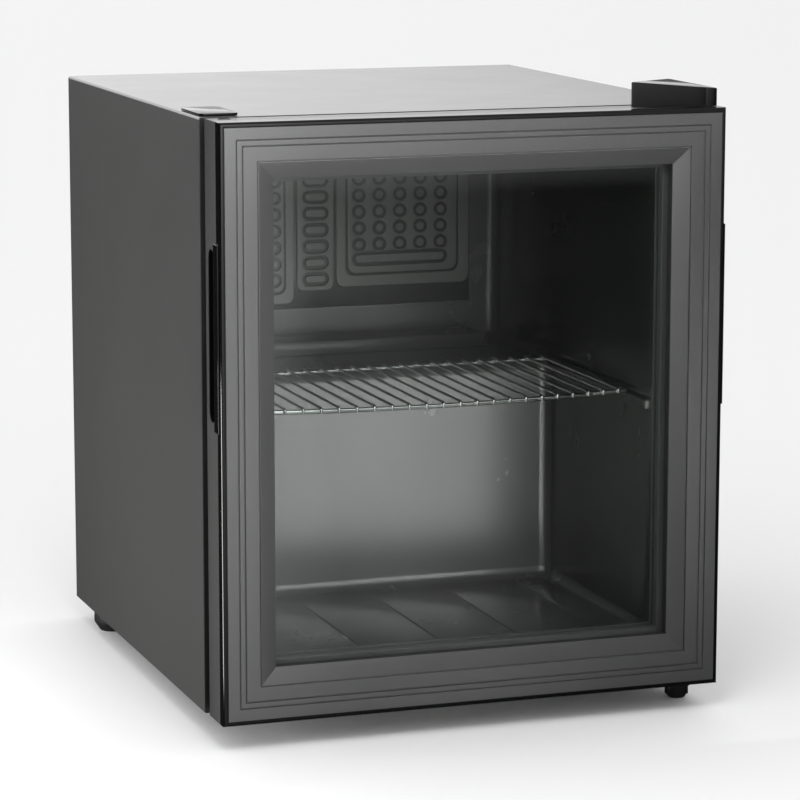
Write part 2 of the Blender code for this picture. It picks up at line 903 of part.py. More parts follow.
def make_hinges():
    """Pin hinges above and below the door, on the cabinet's right."""

    def pad(radius):
        return arc((HINGE_X, HINGE_Y), radius, 180, 360, 8)

    upper_z = 0.5052
    outline = [
        *pad(0.009),
        (HINGE_X + 0.009, -0.150),
        (HINGE_X + 0.003, -0.150),
        (HINGE_X - 0.021, -0.181),
        (HINGE_X - 0.028, -0.195),
    ]
    upper = prism("upper_hinge_plate", outline, upper_z, upper_z + 0.0025, "zinc_steel")
    upper_pin = cylinder(
        "upper_pin",
        PIN_RADIUS,
        (HINGE_X, HINGE_Y, DOOR_TOP - PIN_REACH),
        (HINGE_X, HINGE_Y, upper_z + 0.002),
        "zinc_steel",
    )
    unite(upper, upper_pin)
    lower_z = 0.0172
    outline = [
        *pad(0.0105),
        (HINGE_X + 0.0105, -0.130),
        (HINGE_X - 0.04, -0.130),
        (HINGE_X - 0.04, -0.180),
    ]
    lower = prism("lower_hinge_plate", outline, lower_z, CABINET_BOTTOM - GAP, "zinc_steel")
    lower_pin = cylinder(
        "lower_pin",
        PIN_RADIUS,
        (HINGE_X, HINGE_Y, lower_z + 0.0008),
        (HINGE_X, HINGE_Y, DOOR_BOTTOM + PIN_REACH),
        "zinc_steel",
    )
    unite(lower, lower_pin)
    cut(lower, foot_stud_cutter(*FRONT_RIGHT_FOOT))
    lower_screws = ((HINGE_X - 0.008, -0.140), (HINGE_X - 0.028, -0.140))
    upper_screws = ((HINGE_X + 0.0015, -0.162), (HINGE_X - 0.014, -0.180))
    for label, places, bottom in (
        ("lower", lower_screws, lower_z - GAP - SCREW_HEAD),
        ("upper", upper_screws, upper_z + 0.0025 + GAP),
    ):
        for number, (x, y) in enumerate(places, start=1):
            cylinder(
                f"{label}_hinge_screw_{number}",
                0.0042,
                (x, y, bottom),
                (x, y, bottom + SCREW_HEAD),
                "zinc_steel",
                sides=16,
            )
    washer = cylinder(
        "lower_hinge_washer",
        0.0085,
        (HINGE_X, HINGE_Y, CABINET_BOTTOM),
        (HINGE_X, HINGE_Y, DOOR_BOTTOM - GAP),
        "matte_black",
    )
    cut(washer, pin_bore())
    make_hinge_cover()


def pin_bore():
    name = "pin_bore"
    if name in bpy.data.objects:
        return bpy.data.objects[name]
    return cylinder(
        name, 0.0044, (HINGE_X, HINGE_Y, 0.0), (HINGE_X, HINGE_Y, 0.6), None, cutter=True
    )


def make_hinge_cover():
    """The moulded wedge over the upper hinge, with a lid that slopes down to the right."""
    outline = [
        (COVER_TIP, -0.2270),
        (0.1930, -0.2352),
        *arc((0.2060, -0.2270), 0.0075, 235, 350, 5),
        (0.2134, -0.1350),
        (0.2090, -0.1350),
    ]
    cover = prism("hinge_cover", outline, COVER_BOTTOM, COVER_TOP + 0.004, "gloss_black")
    slope = math.atan2(COVER_TOP - COVER_LOW, 0.2134 - COVER_TIP)
    half = 0.03
    lid = box("cover_slope", (-0.1, -0.1, -half), (0.1, 0.1, half), None, cutter=True)
    lid.rotation_euler = (0, slope, 0)
    lid.location = (
        (COVER_TIP + 0.2134) / 2 + half * math.sin(slope),
        -0.19,
        (COVER_TOP + COVER_LOW) / 2 + half * math.cos(slope),
    )
    cut(cover, lid)
    room = prism(
        "cover_room",
        [
            (0.1450, -0.2250),
            (0.1925, -0.2315),
            (0.2110, -0.2310),
            (0.2122, -0.1400),
            (0.2085, -0.1400),
        ],
        0.500,
        0.5150,
        None,
        cutter=True,
    )
    cut(cover, room)
    round_edges(cover, 0.0008, 2)


def make_top_trims():
    """The plate over the unused hinge's screw holes, and the plug in the unused pin hole."""
    outline = rounded_outline((-0.2115, -0.1815), (-0.1795, -0.1190), 0.006)
    prism("screw_hole_cover", outline, CABINET_TOP + GAP, CABINET_TOP + 0.0022, "gloss_black")


# ---------------------------------------------------------------- door


def make_door():
    """The glass door: two mitred frames, a trim, a sealed pair of panes and the magnetic gasket."""
    hinge = pivot("door_pivot", (HINGE_X, HINGE_Y, 0))
    low, high = (-WIDTH / 2, DOOR_BOTTOM), (WIDTH / 2, DOOR_TOP)

    def frame(name, profile, finish):
        return moulding(name, profile, finish, hinge, low, high)

    frame(
        "door_front_frame",
        [
            (0.0, RIM_DEPTH),
            *arc((0.0033, 0.0033), 0.0033, 180, 270, 4),
            (0.0036, 0.0026),
            (0.0308, 0.0028),
            (0.0430, 0.0062),
            (0.0430, 0.0075),
            (0.0022, 0.0075),
            (0.0022, RIM_DEPTH),
        ],
        "gloss_black",
    )
    grooves = []
    for inset, deep in ((0.0140, 0.0009), (0.0189, 0.0009), (0.0311, 0.0011)):
        grooves += [(inset - 0.0005, 0.0), (inset, deep), (inset + 0.0005, 0.0)]
    frame(
        "door_trim",
        [
            (0.0040, 0.0022),
            (0.0040, 0.0002),
            *grooves,
            (0.0450, 0.0050),
            (0.0450, 0.0063),
            (0.0311, 0.0024),
        ],
        "satin_trim",
    )
    frame(
        "glass_seal",
        [(0.0433, 0.0147), (0.0433, 0.0066), (0.0450, 0.0066), (0.0450, 0.0147)],
        "gasket_rubber",
    )
    side = frame(
        "door_side_frame",
        [
            (0.0, RIM_DEPTH + GAP),
            (DOOR_SKIN, RIM_DEPTH + GAP),
            (DOOR_SKIN, 0.0400),
            (0.0340, 0.0400),
            (0.0340, 0.0300),
            (0.0500, 0.0300),
            (0.0500, 0.0325),
            (0.0370, 0.0325),
            (0.0370, DOOR_THICK),
            (0.0, DOOR_THICK),
        ],
        "painted_steel",
    )
    frame(
        "glass_spacer",
        [(0.0405, 0.0185), (0.0488, 0.0185), (0.0488, 0.0264), (0.0405, 0.0264)],
        "spacer_metal",
    )
    frame(
        "door_gasket",
        [
            (0.0135, 0.0433),
            (0.0330, 0.0433),
            (0.0330, 0.0452),
            (0.0270, 0.0468),
            (0.0290, 0.0490),
            (0.0290, 0.0500),
            (0.0180, 0.0500),
            (0.0180, 0.0528),
            (0.0290, 0.0528),
            (0.0290, 0.0538),
            (0.0150, 0.0538),
            (0.0150, 0.0490),
            (0.0170, 0.0468),
            (0.0135, 0.0452),
        ],
        "gasket_rubber",
    )
    frame(
        "gasket_magnet",
        [(0.0184, 0.0504), (0.0285, 0.0504), (0.0285, 0.0524), (0.0184, 0.0524)],
        "matte_black",
    )
    inset = 0.0383
    for name, front, back in (("outer_pane", 0.0150, 0.0182), ("inner_pane", 0.0267, 0.0296)):
        box(
            name,
            (-WIDTH / 2 + inset, DOOR_FRONT + front, DOOR_BOTTOM + inset),
            (WIDTH / 2 - inset, DOOR_FRONT + back, DOOR_TOP - inset),
            "glass",
            parent=hinge,
        )
    make_bushes(side, hinge)
    for sign, label in ((-1, "left"), (1, "right")):
        make_grip(side, hinge, sign, label)


def make_bushes(side, hinge):
    """Plastic bushes in the door for the two pins, and plugs in the two unused holes."""
    for label, z, inward in (("top", DOOR_TOP, -1), ("bottom", DOOR_BOTTOM, 1)):
        hole = cylinder(
            f"bush_hole_{label}",
            0.0069,
            (HINGE_X, HINGE_Y, z - 0.0135),
            (HINGE_X, HINGE_Y, z + 0.0135),
            None,
            cutter=True,
        )
        cut(side, hole)
        bush = cylinder(
            f"{label}_bush",
            0.0065,
            (HINGE_X, HINGE_Y, z),
            (HINGE_X, HINGE_Y, z + inward * 0.013),
            "matte_black",
            parent=hinge,
        )
        cut(bush, pin_bore())
        half_x, half_y = 0.0053, 0.0043
        plug_hole = box(
            f"plug_hole_{label}",
            (-HINGE_X - half_x - GAP, HINGE_Y - half_y - GAP, z - 0.01),
            (-HINGE_X + half_x + GAP, HINGE_Y + half_y + GAP, z + 0.01),
            None,
            cutter=True,
        )
        cut(side, plug_hole)
        ends = sorted((z - inward * 0.0004, z + inward * 0.004))
        box(
            f"{label}_hole_plug",
            (-HINGE_X - half_x, HINGE_Y - half_y, ends[0]),
            (-HINGE_X + half_x, HINGE_Y + half_y, ends[1]),
            "gloss_black",
            parent=hinge,
        )


def make_grip(side, hinge, sign, label):
    """A recessed finger grip in the door's edge: a pocket, and a lip that stands proud."""
    outer = sign * WIDTH / 2
    cup_front, cup_back = RIM_DEPTH + 2 * GAP, 0.0375
    z_low, z_high = 0.2590, 0.4090

    def block(name, near, far, front, back, trim, **options):
        """A box between two insets and two depths, shortened at both ends by trim."""
        x = sorted((outer - sign * near, outer - sign * far))
        return box(
            name,
            (x[0], DOOR_FRONT + front, z_low + trim),
            (x[1], DOOR_FRONT + back, z_high - trim),
            "gloss_black",
            **options,
        )

    opening = block(
        f"grip_opening_{label}", -0.01, 0.0165, cup_front - GAP, cup_back + GAP, -GAP, cutter=True
    )
    cut(side, opening)
    cup = block(f"{label}_grip", 0.0, 0.0160, cup_front, cup_back, 0.0, parent=hinge)
    root = block(f"{label}_grip_root", -0.0009, 0.0060, cup_front + 0.0004, 0.0149, 0.0020)
    unite(cup, root)
    lip = block(f"{label}_grip_lip", -0.0017, -GAP, 0.0032, 0.0155, 0.0012, bevel=0.0004)
    unite(cup, lip)
    pocket = block(
        f"grip_pocket_{label}", -0.01, 0.0140, 0.0172, 0.0345, 0.0065, cutter=True, bevel=0.004
    )
    cut(cup, pocket)


clear_scene()
make_materials()
make_shell()
make_front_flange()
make_liner()
make_foam()
make_drain()
make_evaporator()
make_compressor()
make_piping()
make_condenser()
make_controls()
make_feet()
make_shelf()
make_hinges()
make_top_trims()
make_door()
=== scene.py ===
import math

import bmesh
import bpy
from mathutils import Matrix, Vector


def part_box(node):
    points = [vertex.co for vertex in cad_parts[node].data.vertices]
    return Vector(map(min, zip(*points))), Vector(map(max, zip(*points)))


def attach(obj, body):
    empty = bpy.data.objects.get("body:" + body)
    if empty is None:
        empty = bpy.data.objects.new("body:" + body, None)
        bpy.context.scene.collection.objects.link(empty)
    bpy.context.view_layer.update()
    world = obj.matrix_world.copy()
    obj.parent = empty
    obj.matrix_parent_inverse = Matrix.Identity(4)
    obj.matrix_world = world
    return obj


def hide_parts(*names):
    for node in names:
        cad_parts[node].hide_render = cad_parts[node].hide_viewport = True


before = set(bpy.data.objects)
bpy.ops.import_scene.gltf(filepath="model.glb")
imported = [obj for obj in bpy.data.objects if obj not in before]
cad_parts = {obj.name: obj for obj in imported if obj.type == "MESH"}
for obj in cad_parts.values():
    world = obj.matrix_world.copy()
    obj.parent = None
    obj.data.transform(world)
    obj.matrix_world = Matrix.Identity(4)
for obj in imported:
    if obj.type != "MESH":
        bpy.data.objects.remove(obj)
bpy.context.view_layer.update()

# ------------------------------------------------------------------ paint
# The cabinet and the door's sides are pre-coated steel: a dark grey metallic paint, rolled on
# flat and then folded. It has a fine orange-peel, and it picks up smudges and a little dust.


def new_group(name, values, outputs):
    """A node group with float inputs, given as name: default, and the named outputs."""
    group = bpy.data.node_groups.new(name, "ShaderNodeTree")
    for label, default in values.items():
        socket = group.interface.new_socket(label, in_out="INPUT", socket_type="NodeSocketFloat")
        socket.default_value = default
    for label, kind in outputs.items():
        group.interface.new_socket(label, in_out="OUTPUT", socket_type=kind)
    entry = group.nodes.new("NodeGroupInput")
    leave = group.nodes.new("NodeGroupOutput")
    return group, entry, leave


def math_node(tree, operation, first, second, clamp=False):
    """A Math node whose inputs are sockets or numbers."""
    node = tree.nodes.new("ShaderNodeMath")
    node.operation = operation
    node.use_clamp = clamp
    for socket, value in zip(node.inputs, (first, second)):
        if isinstance(value, bpy.types.NodeSocket):
            tree.links.new(value, socket)
        else:
            socket.default_value = value
    return node.outputs[0]


def noise_at(tree, vector, scale, detail=2.0, roughness=0.5):
    """A noise texture's value at a vector, with a scale that is a number or a socket."""
    node = tree.nodes.new("ShaderNodeTexNoise")
    node.inputs["Detail"].default_value = detail
    node.inputs["Roughness"].default_value = roughness
    tree.links.new(vector, node.inputs["Vector"])
    if isinstance(scale, bpy.types.NodeSocket):
        tree.links.new(scale, node.inputs["Scale"])
    else:
        node.inputs["Scale"].default_value = scale
    return node.outputs[0]


def build_surface_group():
    """Fine grain, broad smudges and settled dust, from Object coordinates."""
    group, entry, leave = new_group(
        "handled_surface",
        {"Grain Scale": 900.0, "Smudge Scale": 14.0, "Dust": 0.1},
        {"Grain": "NodeSocketFloat", "Smudge": "NodeSocketFloat", "Dust": "NodeSocketFloat"},
    )
    where = group.nodes.new("ShaderNodeTexCoord").outputs["Object"]
    grain = noise_at(group, where, entry.outputs["Grain Scale"], 1.0)
    smudge = noise_at(group, where, entry.outputs["Smudge Scale"], 4.0, 0.6)
    facing = group.nodes.new("ShaderNodeNewGeometry").outputs["Normal"]
    split = group.nodes.new("ShaderNodeSeparateXYZ")
    group.links.new(facing, split.inputs[0])
    upward = math_node(group, "MULTIPLY", split.outputs["Z"], entry.outputs["Dust"], True)
    speckle = noise_at(group, where, 420.0, 3.0, 0.7)
    speckle = math_node(group, "SUBTRACT", speckle, 0.45, True)
    dust = math_node(group, "MULTIPLY", upward, speckle, True)
    group.links.new(grain, leave.inputs["Grain"])
    group.links.new(smudge, leave.inputs["Smudge"])
    group.links.new(dust, leave.inputs["Dust"])
    return group


handled_surface = build_surface_group()


def finish_material(name, colour, roughness, grain=900.0, relief=0.00003, smudge=0.05, dust=0.1, **plain):
    """A Principled material with grain, smudges and dust; plain sets the shader's own sockets."""
    made = bpy.data.materials.new(name)
    made.use_nodes = True
    tree = made.node_tree
    shader = tree.nodes["Principled BSDF"]
    for socket, value in plain.items():
        shader.inputs[socket.replace("_", " ")].default_value = value
    surface = tree.nodes.new("ShaderNodeGroup")
    surface.node_tree = handled_surface
    surface.inputs["Grain Scale"].default_value = grain
    surface.inputs["Dust"].default_value = dust
    tint = tree.nodes.new("ShaderNodeMix")
    tint.data_type = "RGBA"
    tint.inputs["A"].default_value = (*colour, 1.0)
    tint.inputs["B"].default_value = (*(0.3 + 0.5 * c for c in colour), 1.0)
    tree.links.new(surface.outputs["Dust"], tint.inputs["Factor"])
    tree.links.new(tint.outputs["Result"], shader.inputs["Base Color"])
    spread = math_node(tree, "SUBTRACT", surface.outputs["Smudge"], 0.5)
    change = math_node(tree, "MULTIPLY", spread, 2.0 * smudge)
    tree.links.new(math_node(tree, "ADD", change, roughness, True), shader.inputs["Roughness"])
    bump = tree.nodes.new("ShaderNodeBump")
    bump.inputs["Distance"].default_value = relief
    tree.links.new(surface.outputs["Grain"], bump.inputs["Height"])
    tree.links.new(bump.outputs["Normal"], shader.inputs["Normal"])
    return made


grey_paint = finish_material(
    "dark_grey_paint", (0.064, 0.064, 0.063), 0.34, 700.0, 0.00002, 0.04, 0.03,
    Metallic=0.12, Coat_Weight=0.5, Coat_Roughness=0.14,
)

# ------------------------------------------------------------------ cabinet wrap
# One sheet of 1 mm steel makes the two sides and the top. It is folded at two small radii,
# and its front edge is tucked behind the door flange.


def keep(bm, name, body, slot, material, *nodes, angle=32):
    """Makes a finished bmesh an object that rides on a body and stands for CAD nodes."""
    mesh = bpy.data.meshes.new(name)
    bm.to_mesh(mesh)
    bm.free()
    mesh.shade_smooth()
    mesh.set_sharp_from_angle(angle=math.radians(angle))
    mesh.materials.append(material)
    piece = bpy.data.objects.new(name, mesh)
    bpy.context.scene.collection.objects.link(piece)
    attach(piece, body)
    if nodes:
        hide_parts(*nodes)
    return piece


def arc(centre, radius, start, end, steps):
    """Points on an arc about centre, from start to end in degrees."""
    turns = [math.radians(start + (end - start) * i / steps) for i in range(steps + 1)]
    return [(centre[0] + radius * math.cos(t), centre[1] + radius * math.sin(t)) for t in turns]


def sweep_path(bm, points, step):
    """Joins points with edges and extrudes the line by step, as a folded sheet."""
    line = [bm.verts.new(p) for p in points]
    edges = [bm.edges.new(pair) for pair in zip(line, line[1:])]
    made = bmesh.ops.extrude_edge_only(bm, edges=edges)["geom"]
    moved = [v for v in made if isinstance(v, bmesh.types.BMVert)]
    bmesh.ops.translate(bm, verts=moved, vec=step)


def thicken(bm, thickness):
    """Gives an open sheet its thickness, after its faces are turned one way."""
    bmesh.ops.recalc_face_normals(bm, faces=bm.faces)
    bmesh.ops.solidify(bm, geom=bm.faces[:], thickness=thickness)
    bmesh.ops.recalc_face_normals(bm, faces=bm.faces)


shell_low, shell_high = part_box("outer_shell")
fold = 0.0022
sheet_path = [(shell_low.x, shell_low.z)]
sheet_path += arc((shell_low.x + fold, shell_high.z - fold), fold, 180, 90, 8)
sheet_path += arc((shell_high.x - fold, shell_high.z - fold), fold, 90, 0, 8)
sheet_path += [(shell_high.x, shell_low.z)]
wrap = bmesh.new()
sweep_path(
    wrap,
    [(x, shell_low.y, z) for x, z in sheet_path],
    (0, shell_high.y - shell_low.y, 0),
)
bmesh.ops.recalc_face_normals(wrap, faces=wrap.faces)
outward = wrap.faces[:][0].normal.x
bmesh.ops.solidify(wrap, geom=wrap.faces[:], thickness=0.001 if outward < 0 else -0.001)
bmesh.ops.recalc_face_normals(wrap, faces=wrap.faces)
keep(wrap, "cabinet_wrap", "cabinet", "painted_steel", grey_paint, "outer_shell")

# ------------------------------------------------------------------ moulded liner
# The chilled space is one vacuum-formed sheet of black plastic: a tub with 10 mm corners, a step
# over the compressor, a ledge on each side for the shelf, and flat treads pressed in its floor.


def add_block(bm, low, high, radius=0.0, segments=3):
    """Adds a box between two corners, with all its edges rounded."""
    low, high = Vector(low), Vector(high)
    size = Matrix.Diagonal((*(high - low), 1))
    made = bmesh.ops.create_cube(bm, size=1, matrix=Matrix.Translation((low + high) / 2) @ size)
    if radius:
        edges = list({e for v in made["verts"] for e in v.link_edges})
        round_edges(bm, edges, radius, segments)


def round_edges(bm, edges, radius, segments=3):
    """Bevels edges to a round of that radius."""
    bmesh.ops.bevel(
        bm, geom=edges, offset=radius, offset_type="OFFSET", segments=segments,
        profile=0.5, affect="EDGES", material=-1, clamp_overlap=True,
    )


liner_plastic = finish_material(
    "liner_black_plastic", (0.034, 0.034, 0.033), 0.26, 900.0, 0.000006, 0.05, 0.0,
    Coat_Weight=0.4, Coat_Roughness=0.18,
)
liner_low, liner_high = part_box("inner_liner")
wall, flange = 0.0018, 0.012
hump_front, hump_top = 0.051, 0.2530
liner_half = liner_high.x - flange
liner_floor, liner_ceiling = liner_low.z + flange, liner_high.z - flange
liner_back = liner_high.y - wall
mouth = liner_low.y

tub = bmesh.new()
outline = [
    (mouth, liner_floor), (hump_front, liner_floor), (hump_front, hump_top),
    (liner_back, hump_top), (liner_back, liner_ceiling), (mouth, liner_ceiling),
]
flat = tub.faces.new([tub.verts.new((-liner_half, y, z)) for y, z in outline])
raised = bmesh.ops.extrude_face_region(tub, geom=[flat])["geom"]
bmesh.ops.translate(
    tub, verts=[v for v in raised if isinstance(v, bmesh.types.BMVert)], vec=(2 * liner_half, 0, 0)
)
front_edge = [e for e in tub.edges if all(abs(v.co.y - mouth) < 1e-6 for v in e.verts)]
round_edges(tub, [e for e in tub.edges if e not in front_edge], 0.010, 6)
open_face = [f for f in tub.faces if all(abs(v.co.y - mouth) < 1e-6 for v in f.verts)]
bmesh.ops.delete(tub, geom=open_face, context="FACES")
# The side walls draw in behind the shelf's front, at a soft upright step.
step_front, step_back, step_in = -0.106, -0.099, 0.0012
for y in (step_front, step_back):
    bmesh.ops.bisect_plane(
        tub, geom=tub.verts[:] + tub.edges[:] + tub.faces[:], plane_co=(0, y, 0), plane_no=(0, 1, 0)
    )
for vert in tub.verts:
    if vert.co.y > step_back - 1e-5 and abs(vert.co.x) > 0.9 * liner_half:
        vert.co.x -= math.copysign(step_in, vert.co.x)
lip = [e for e in tub.edges if e.is_boundary]
made = bmesh.ops.extrude_edge_only(tub, edges=lip)["geom"]
middle_z = (liner_floor + liner_ceiling) / 2
for vert in (v for v in made if isinstance(v, bmesh.types.BMVert)):
    vert.co.x += math.copysign(flange, vert.co.x)
    vert.co.z += math.copysign(flange, vert.co.z - middle_z)
bmesh.ops.recalc_face_normals(tub, faces=tub.faces)
inside = min(tub.faces, key=lambda f: abs(f.calc_center_median().z - liner_floor)).normal.z
bmesh.ops.solidify(tub, geom=tub.faces[:], thickness=wall if inside > 0 else -wall)
bmesh.ops.recalc_face_normals(tub, faces=tub.faces)
tread_gap, tread_pitch, tread_high = 0.0026, 0.070, 0.0009
edges_x = [-liner_half + 0.011, *(i * tread_pitch for i in range(-2, 3)), liner_half - 0.011]
for left, right in zip(edges_x, edges_x[1:]):
    add_block(
        tub,
        (left + tread_gap / 2, mouth + 0.012, liner_floor - 0.0004),
        (right - tread_gap / 2, hump_front - 0.013, liner_floor + tread_high),
        0.0004, 2,
    )
ledge_top, ledge_deep, ledge_high = 0.2541, 0.0054, 0.009
for side in (-1, 1):
    reach = sorted((side * (liner_half - ledge_deep), side * (liner_half + 0.0012)))
    add_block(
        tub,
        (reach[0], -0.176, ledge_top - ledge_high),
        (reach[1], 0.046, ledge_top),
        0.0025, 4,
    )
keep(tub, "moulded_liner", "cabinet", "liner_plastic", liner_plastic, "inner_liner")

# ------------------------------------------------------------------ evaporator
# A roll-bonded aluminium sheet, painted grey. Its refrigerant channels are blown up from flat,
# which leaves raised fields, bands and rows of ovals, and it hangs on two spacers.


def stadium(x, z, width, height, steps=6):
    """An outline with round ends, about (x, z)."""
    radius = min(width, height) / 2
    across, up = width / 2 - radius, height / 2 - radius
    points = []
    for turn, (sx, sz) in enumerate(((1, 1), (-1, 1), (-1, -1), (1, -1))):
        points += arc((x + sx * across, z + sz * up), radius, 90 * turn, 90 * turn + 90, steps)
    return points


def rounded_field(left, right, bottom, top, radius, steps=6):
    """A rectangle of (x, z) points with round corners."""
    points = []
    for turn, (x, z) in enumerate(((right, top), (left, top), (left, bottom), (right, bottom))):
        sx, sz = (1 if x == right else -1), (1 if z == top else -1)
        points += arc((x - sx * radius, z - sz * radius), radius, 90 * turn, 90 * turn + 90, steps)
    return points


def pressed_relief(name, outlines, face, depth, soft):
    """A flat shape with holes and islands, standing proud of a wall, with softened edges."""
    curve = bpy.data.curves.new(name, "CURVE")
    curve.dimensions = "2D"
    curve.fill_mode = "BOTH"
    curve.extrude = depth / 2 - soft
    curve.bevel_depth = soft
    curve.bevel_resolution = 3
    curve.offset = -soft
    for points in outlines:
        spline = curve.splines.new("POLY")
        spline.points.add(len(points) - 1)
        spline.use_cyclic_u = True
        for point, (x, z) in zip(spline.points, points):
            point.co = (x, z, 0, 1)
    holder = bpy.data.objects.new(name, curve)
    bpy.context.scene.collection.objects.link(holder)
    shape = bpy.data.meshes.new_from_object(holder.evaluated_get(bpy.context.evaluated_depsgraph_get()))
    shape.transform(Matrix.Translation((0, face, 0)) @ Matrix.Rotation(math.radians(90), 4, "X"))
    bpy.data.objects.remove(holder)
    return shape


evaporator_paint = finish_material(
    "grey_coated_aluminium", (0.085, 0.085, 0.081), 0.38, 500.0, 0.00004, 0.08, 0.0, Metallic=0.3
)
plate_low, plate_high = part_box("evaporator_plate")
plate_face = plate_low.y + 0.0012
# Painted shade: wherever the surface lies deeper than the raised face, in the sunk channels, the base colour
# is darkened to near black to stand in for the shade that falls there.
tree = evaporator_paint.node_tree
depth = tree.nodes.new("ShaderNodeSeparateXYZ")
tree.links.new(tree.nodes.new("ShaderNodeTexCoord").outputs["Object"], depth.inputs[0])
channel_shade_mask = tree.nodes.new("ShaderNodeMapRange")
channel_shade_mask.inputs["From Min"].default_value = plate_face - 0.0012
channel_shade_mask.inputs["From Max"].default_value = plate_face - 0.0002
tree.links.new(depth.outputs["Y"], channel_shade_mask.inputs["Value"])
# The near-black painted channel shade is mixed into the base colour here.
channel_shade_mix = tree.nodes.new("ShaderNodeMix")
channel_shade_mix.data_type = "RGBA"
channel_shade_mix.inputs["B"].default_value = (0.006, 0.006, 0.006, 1.0)
shader = tree.nodes["Principled BSDF"]
tree.links.new(shader.inputs["Base Color"].links[0].from_socket, channel_shade_mix.inputs["A"])
tree.links.new(channel_shade_mask.outputs["Result"], channel_shade_mix.inputs["Factor"])
tree.links.new(channel_shade_mix.outputs["Result"], shader.inputs["Base Color"])
sheet = bmesh.new()
add_block(
    sheet,
    (plate_low.x, plate_face, plate_low.z),
    (plate_high.x, plate_high.y, plate_high.z),
    0.0006, 2,
)
field_top = plate_high.z - 0.0045
oval_wide, oval_high, oval_pitch, channel = 0.0250, 0.0124, 0.0152, 0.0026
first_row = 0.3170
rows = [first_row + i * oval_pitch for i in range(9)]


def ring(x, z, width, height):
    """An oval channel: its outer outline, and the island left inside it."""
    return [stadium(x, z, width, height), stadium(x, z, width - 2 * channel, height - 2 * channel)]


centre = [rounded_field(-0.0190, 0.0165, 0.3060, field_top, 0.0070)]
for z in rows:
    centre += ring(-0.0012, z, oval_wide, oval_high)
left_panel = [rounded_field(-0.1370, -0.0315, 0.3060, field_top, 0.0060)]
for x in (-0.0465, -0.0770, -0.1075):
    for z in rows:
        left_panel += ring(x, z, oval_wide, oval_high)
right_panel = [rounded_field(0.0298, 0.1370, 0.3205, field_top, 0.0080)]
dot_wide = 0.0130
for x in (0.0410, 0.0610, 0.0810, 0.1010, 0.1210):
    for z in rows[2:]:
        right_panel += ring(x, z, dot_wide, dot_wide)
right_panel += ring(0.0810, 0.3340, 0.0930, 0.0130)
left_band = [
    rounded_field(-0.1490, -0.0215, 0.2950, field_top + 0.001, 0.0080),
    rounded_field(-0.1385, -0.0300, 0.3045, field_top + 0.0005, 0.0070),
]
right_band = [
    rounded_field(0.0188, 0.1490, 0.3080, field_top + 0.001, 0.0080),
    rounded_field(0.0283, 0.1385, 0.3190, field_top + 0.0005, 0.0080),
]
for number, outlines in enumerate((centre, left_panel, right_panel, left_band, right_band)):
    relief = pressed_relief(f"relief_{number}", outlines, plate_face - 0.0004, 0.0024, 0.0009)
    sheet.from_mesh(relief)
    bpy.data.meshes.remove(relief)
keep(sheet, "roll_bonded_plate", "cabinet", "evaporator_aluminium", evaporator_paint,
     "evaporator_plate", angle=50)

# ------------------------------------------------------------------ wire shelf
# The shelf is a bowed frame of 4 mm wire, with thinner wires welded across it from back to front.
# Their front ends are bent down over the frame, and the whole is bright chrome plate.


def wire_piece(name, lines, body, slot, material, *nodes, sides=4, closed=()):
    """Round wires or tubes as one curve: each line is (points, radius)."""
    curve = bpy.data.curves.new(name, "CURVE")
    curve.dimensions = "3D"
    curve.bevel_depth = 1.0
    curve.bevel_resolution = sides
    curve.use_fill_caps = True
    for number, (points, radius) in enumerate(lines):
        spline = curve.splines.new("POLY")
        spline.points.add(len(points) - 1)
        spline.use_cyclic_u = number in closed
        spline.use_smooth = True
        for point, place in zip(spline.points, points):
            point.co = (*place, 1)
            point.radius = radius
    curve.materials.append(material)
    piece = bpy.data.objects.new(name, curve)
    bpy.context.scene.collection.objects.link(piece)
    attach(piece, body)
    if nodes:
        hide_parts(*nodes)
    return piece


def bent_line(corners, radius, steps=6):
    """A line through corners, with each bend rounded."""
    corners = [Vector(c) for c in corners]
    line = [corners[0]]
    for before, here, after in zip(corners, corners[1:], corners[2:]):
        near = min(radius, (before - here).length / 2, (after - here).length / 2)
        start = here + (before - here).normalized() * near
        end = here + (after - here).normalized() * near
        for i in range(steps + 1):
            t = i / steps
            line.append(start * (1 - t) ** 2 + here * 2 * t * (1 - t) + end * t * t)
    return line + [corners[-1]]


chrome = finish_material(
    "chrome_plate", (0.80, 0.80, 0.80), 0.10, 300.0, 0.00001, 0.05, 0.0, Metallic=1.0
)
shelf_low, shelf_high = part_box("wire_shelf")
frame_radius = 0.0020
cross_radius = 0.0012
cross_pitch = 0.0149
frame_z = shelf_low.z + frame_radius
shelf_half = shelf_high.x - frame_radius
shelf_rear = shelf_high.y - frame_radius
shelf_bow, shelf_ends = 0.020, shelf_rear - 0.176


def shelf_front(x):
    """Where the bowed front wire runs at x."""
    return shelf_ends - shelf_bow * (1 - (x / shelf_half) ** 2)


bow = [(shelf_half * i / 24, shelf_front(shelf_half * i / 24), frame_z) for i in range(-24, 25)]
corners = bent_line([bow[-2], bow[-1], (shelf_half, shelf_rear, frame_z), (0, shelf_rear, frame_z)], 0.007)
around = [*bow[2:-2], *corners[1:], *[Vector((-p[0], p[1], p[2])) for p in reversed(corners[1:-1])]]
lines = [(around, frame_radius)]
cross_z = frame_z + frame_radius + cross_radius - 0.0003
count = 2 * int((shelf_half - 0.004) / cross_pitch) + 1
for i in range(count):
    x = (i - (count - 1) / 2) * cross_pitch
    front = shelf_front(x)
    wire = bent_line(
        [
            (x, shelf_rear + 0.001, cross_z),
            (x, front - frame_radius - 0.0004, cross_z),
            (x, front - frame_radius - cross_radius, cross_z - 0.0042),
        ],
        0.003, 4,
    )
    lines.append((wire, cross_radius))
wire_piece("chromed_shelf", lines, "shelf", "chrome_wire", chrome, "wire_shelf", closed=(0,))

# ------------------------------------------------------------------ door mouldings
# The door's face is two mitred extrusions. A gloss black one wraps the outer edge with a round
# nose, and a satin grey one inside it has three fine grooves and a bevel down to the glass.


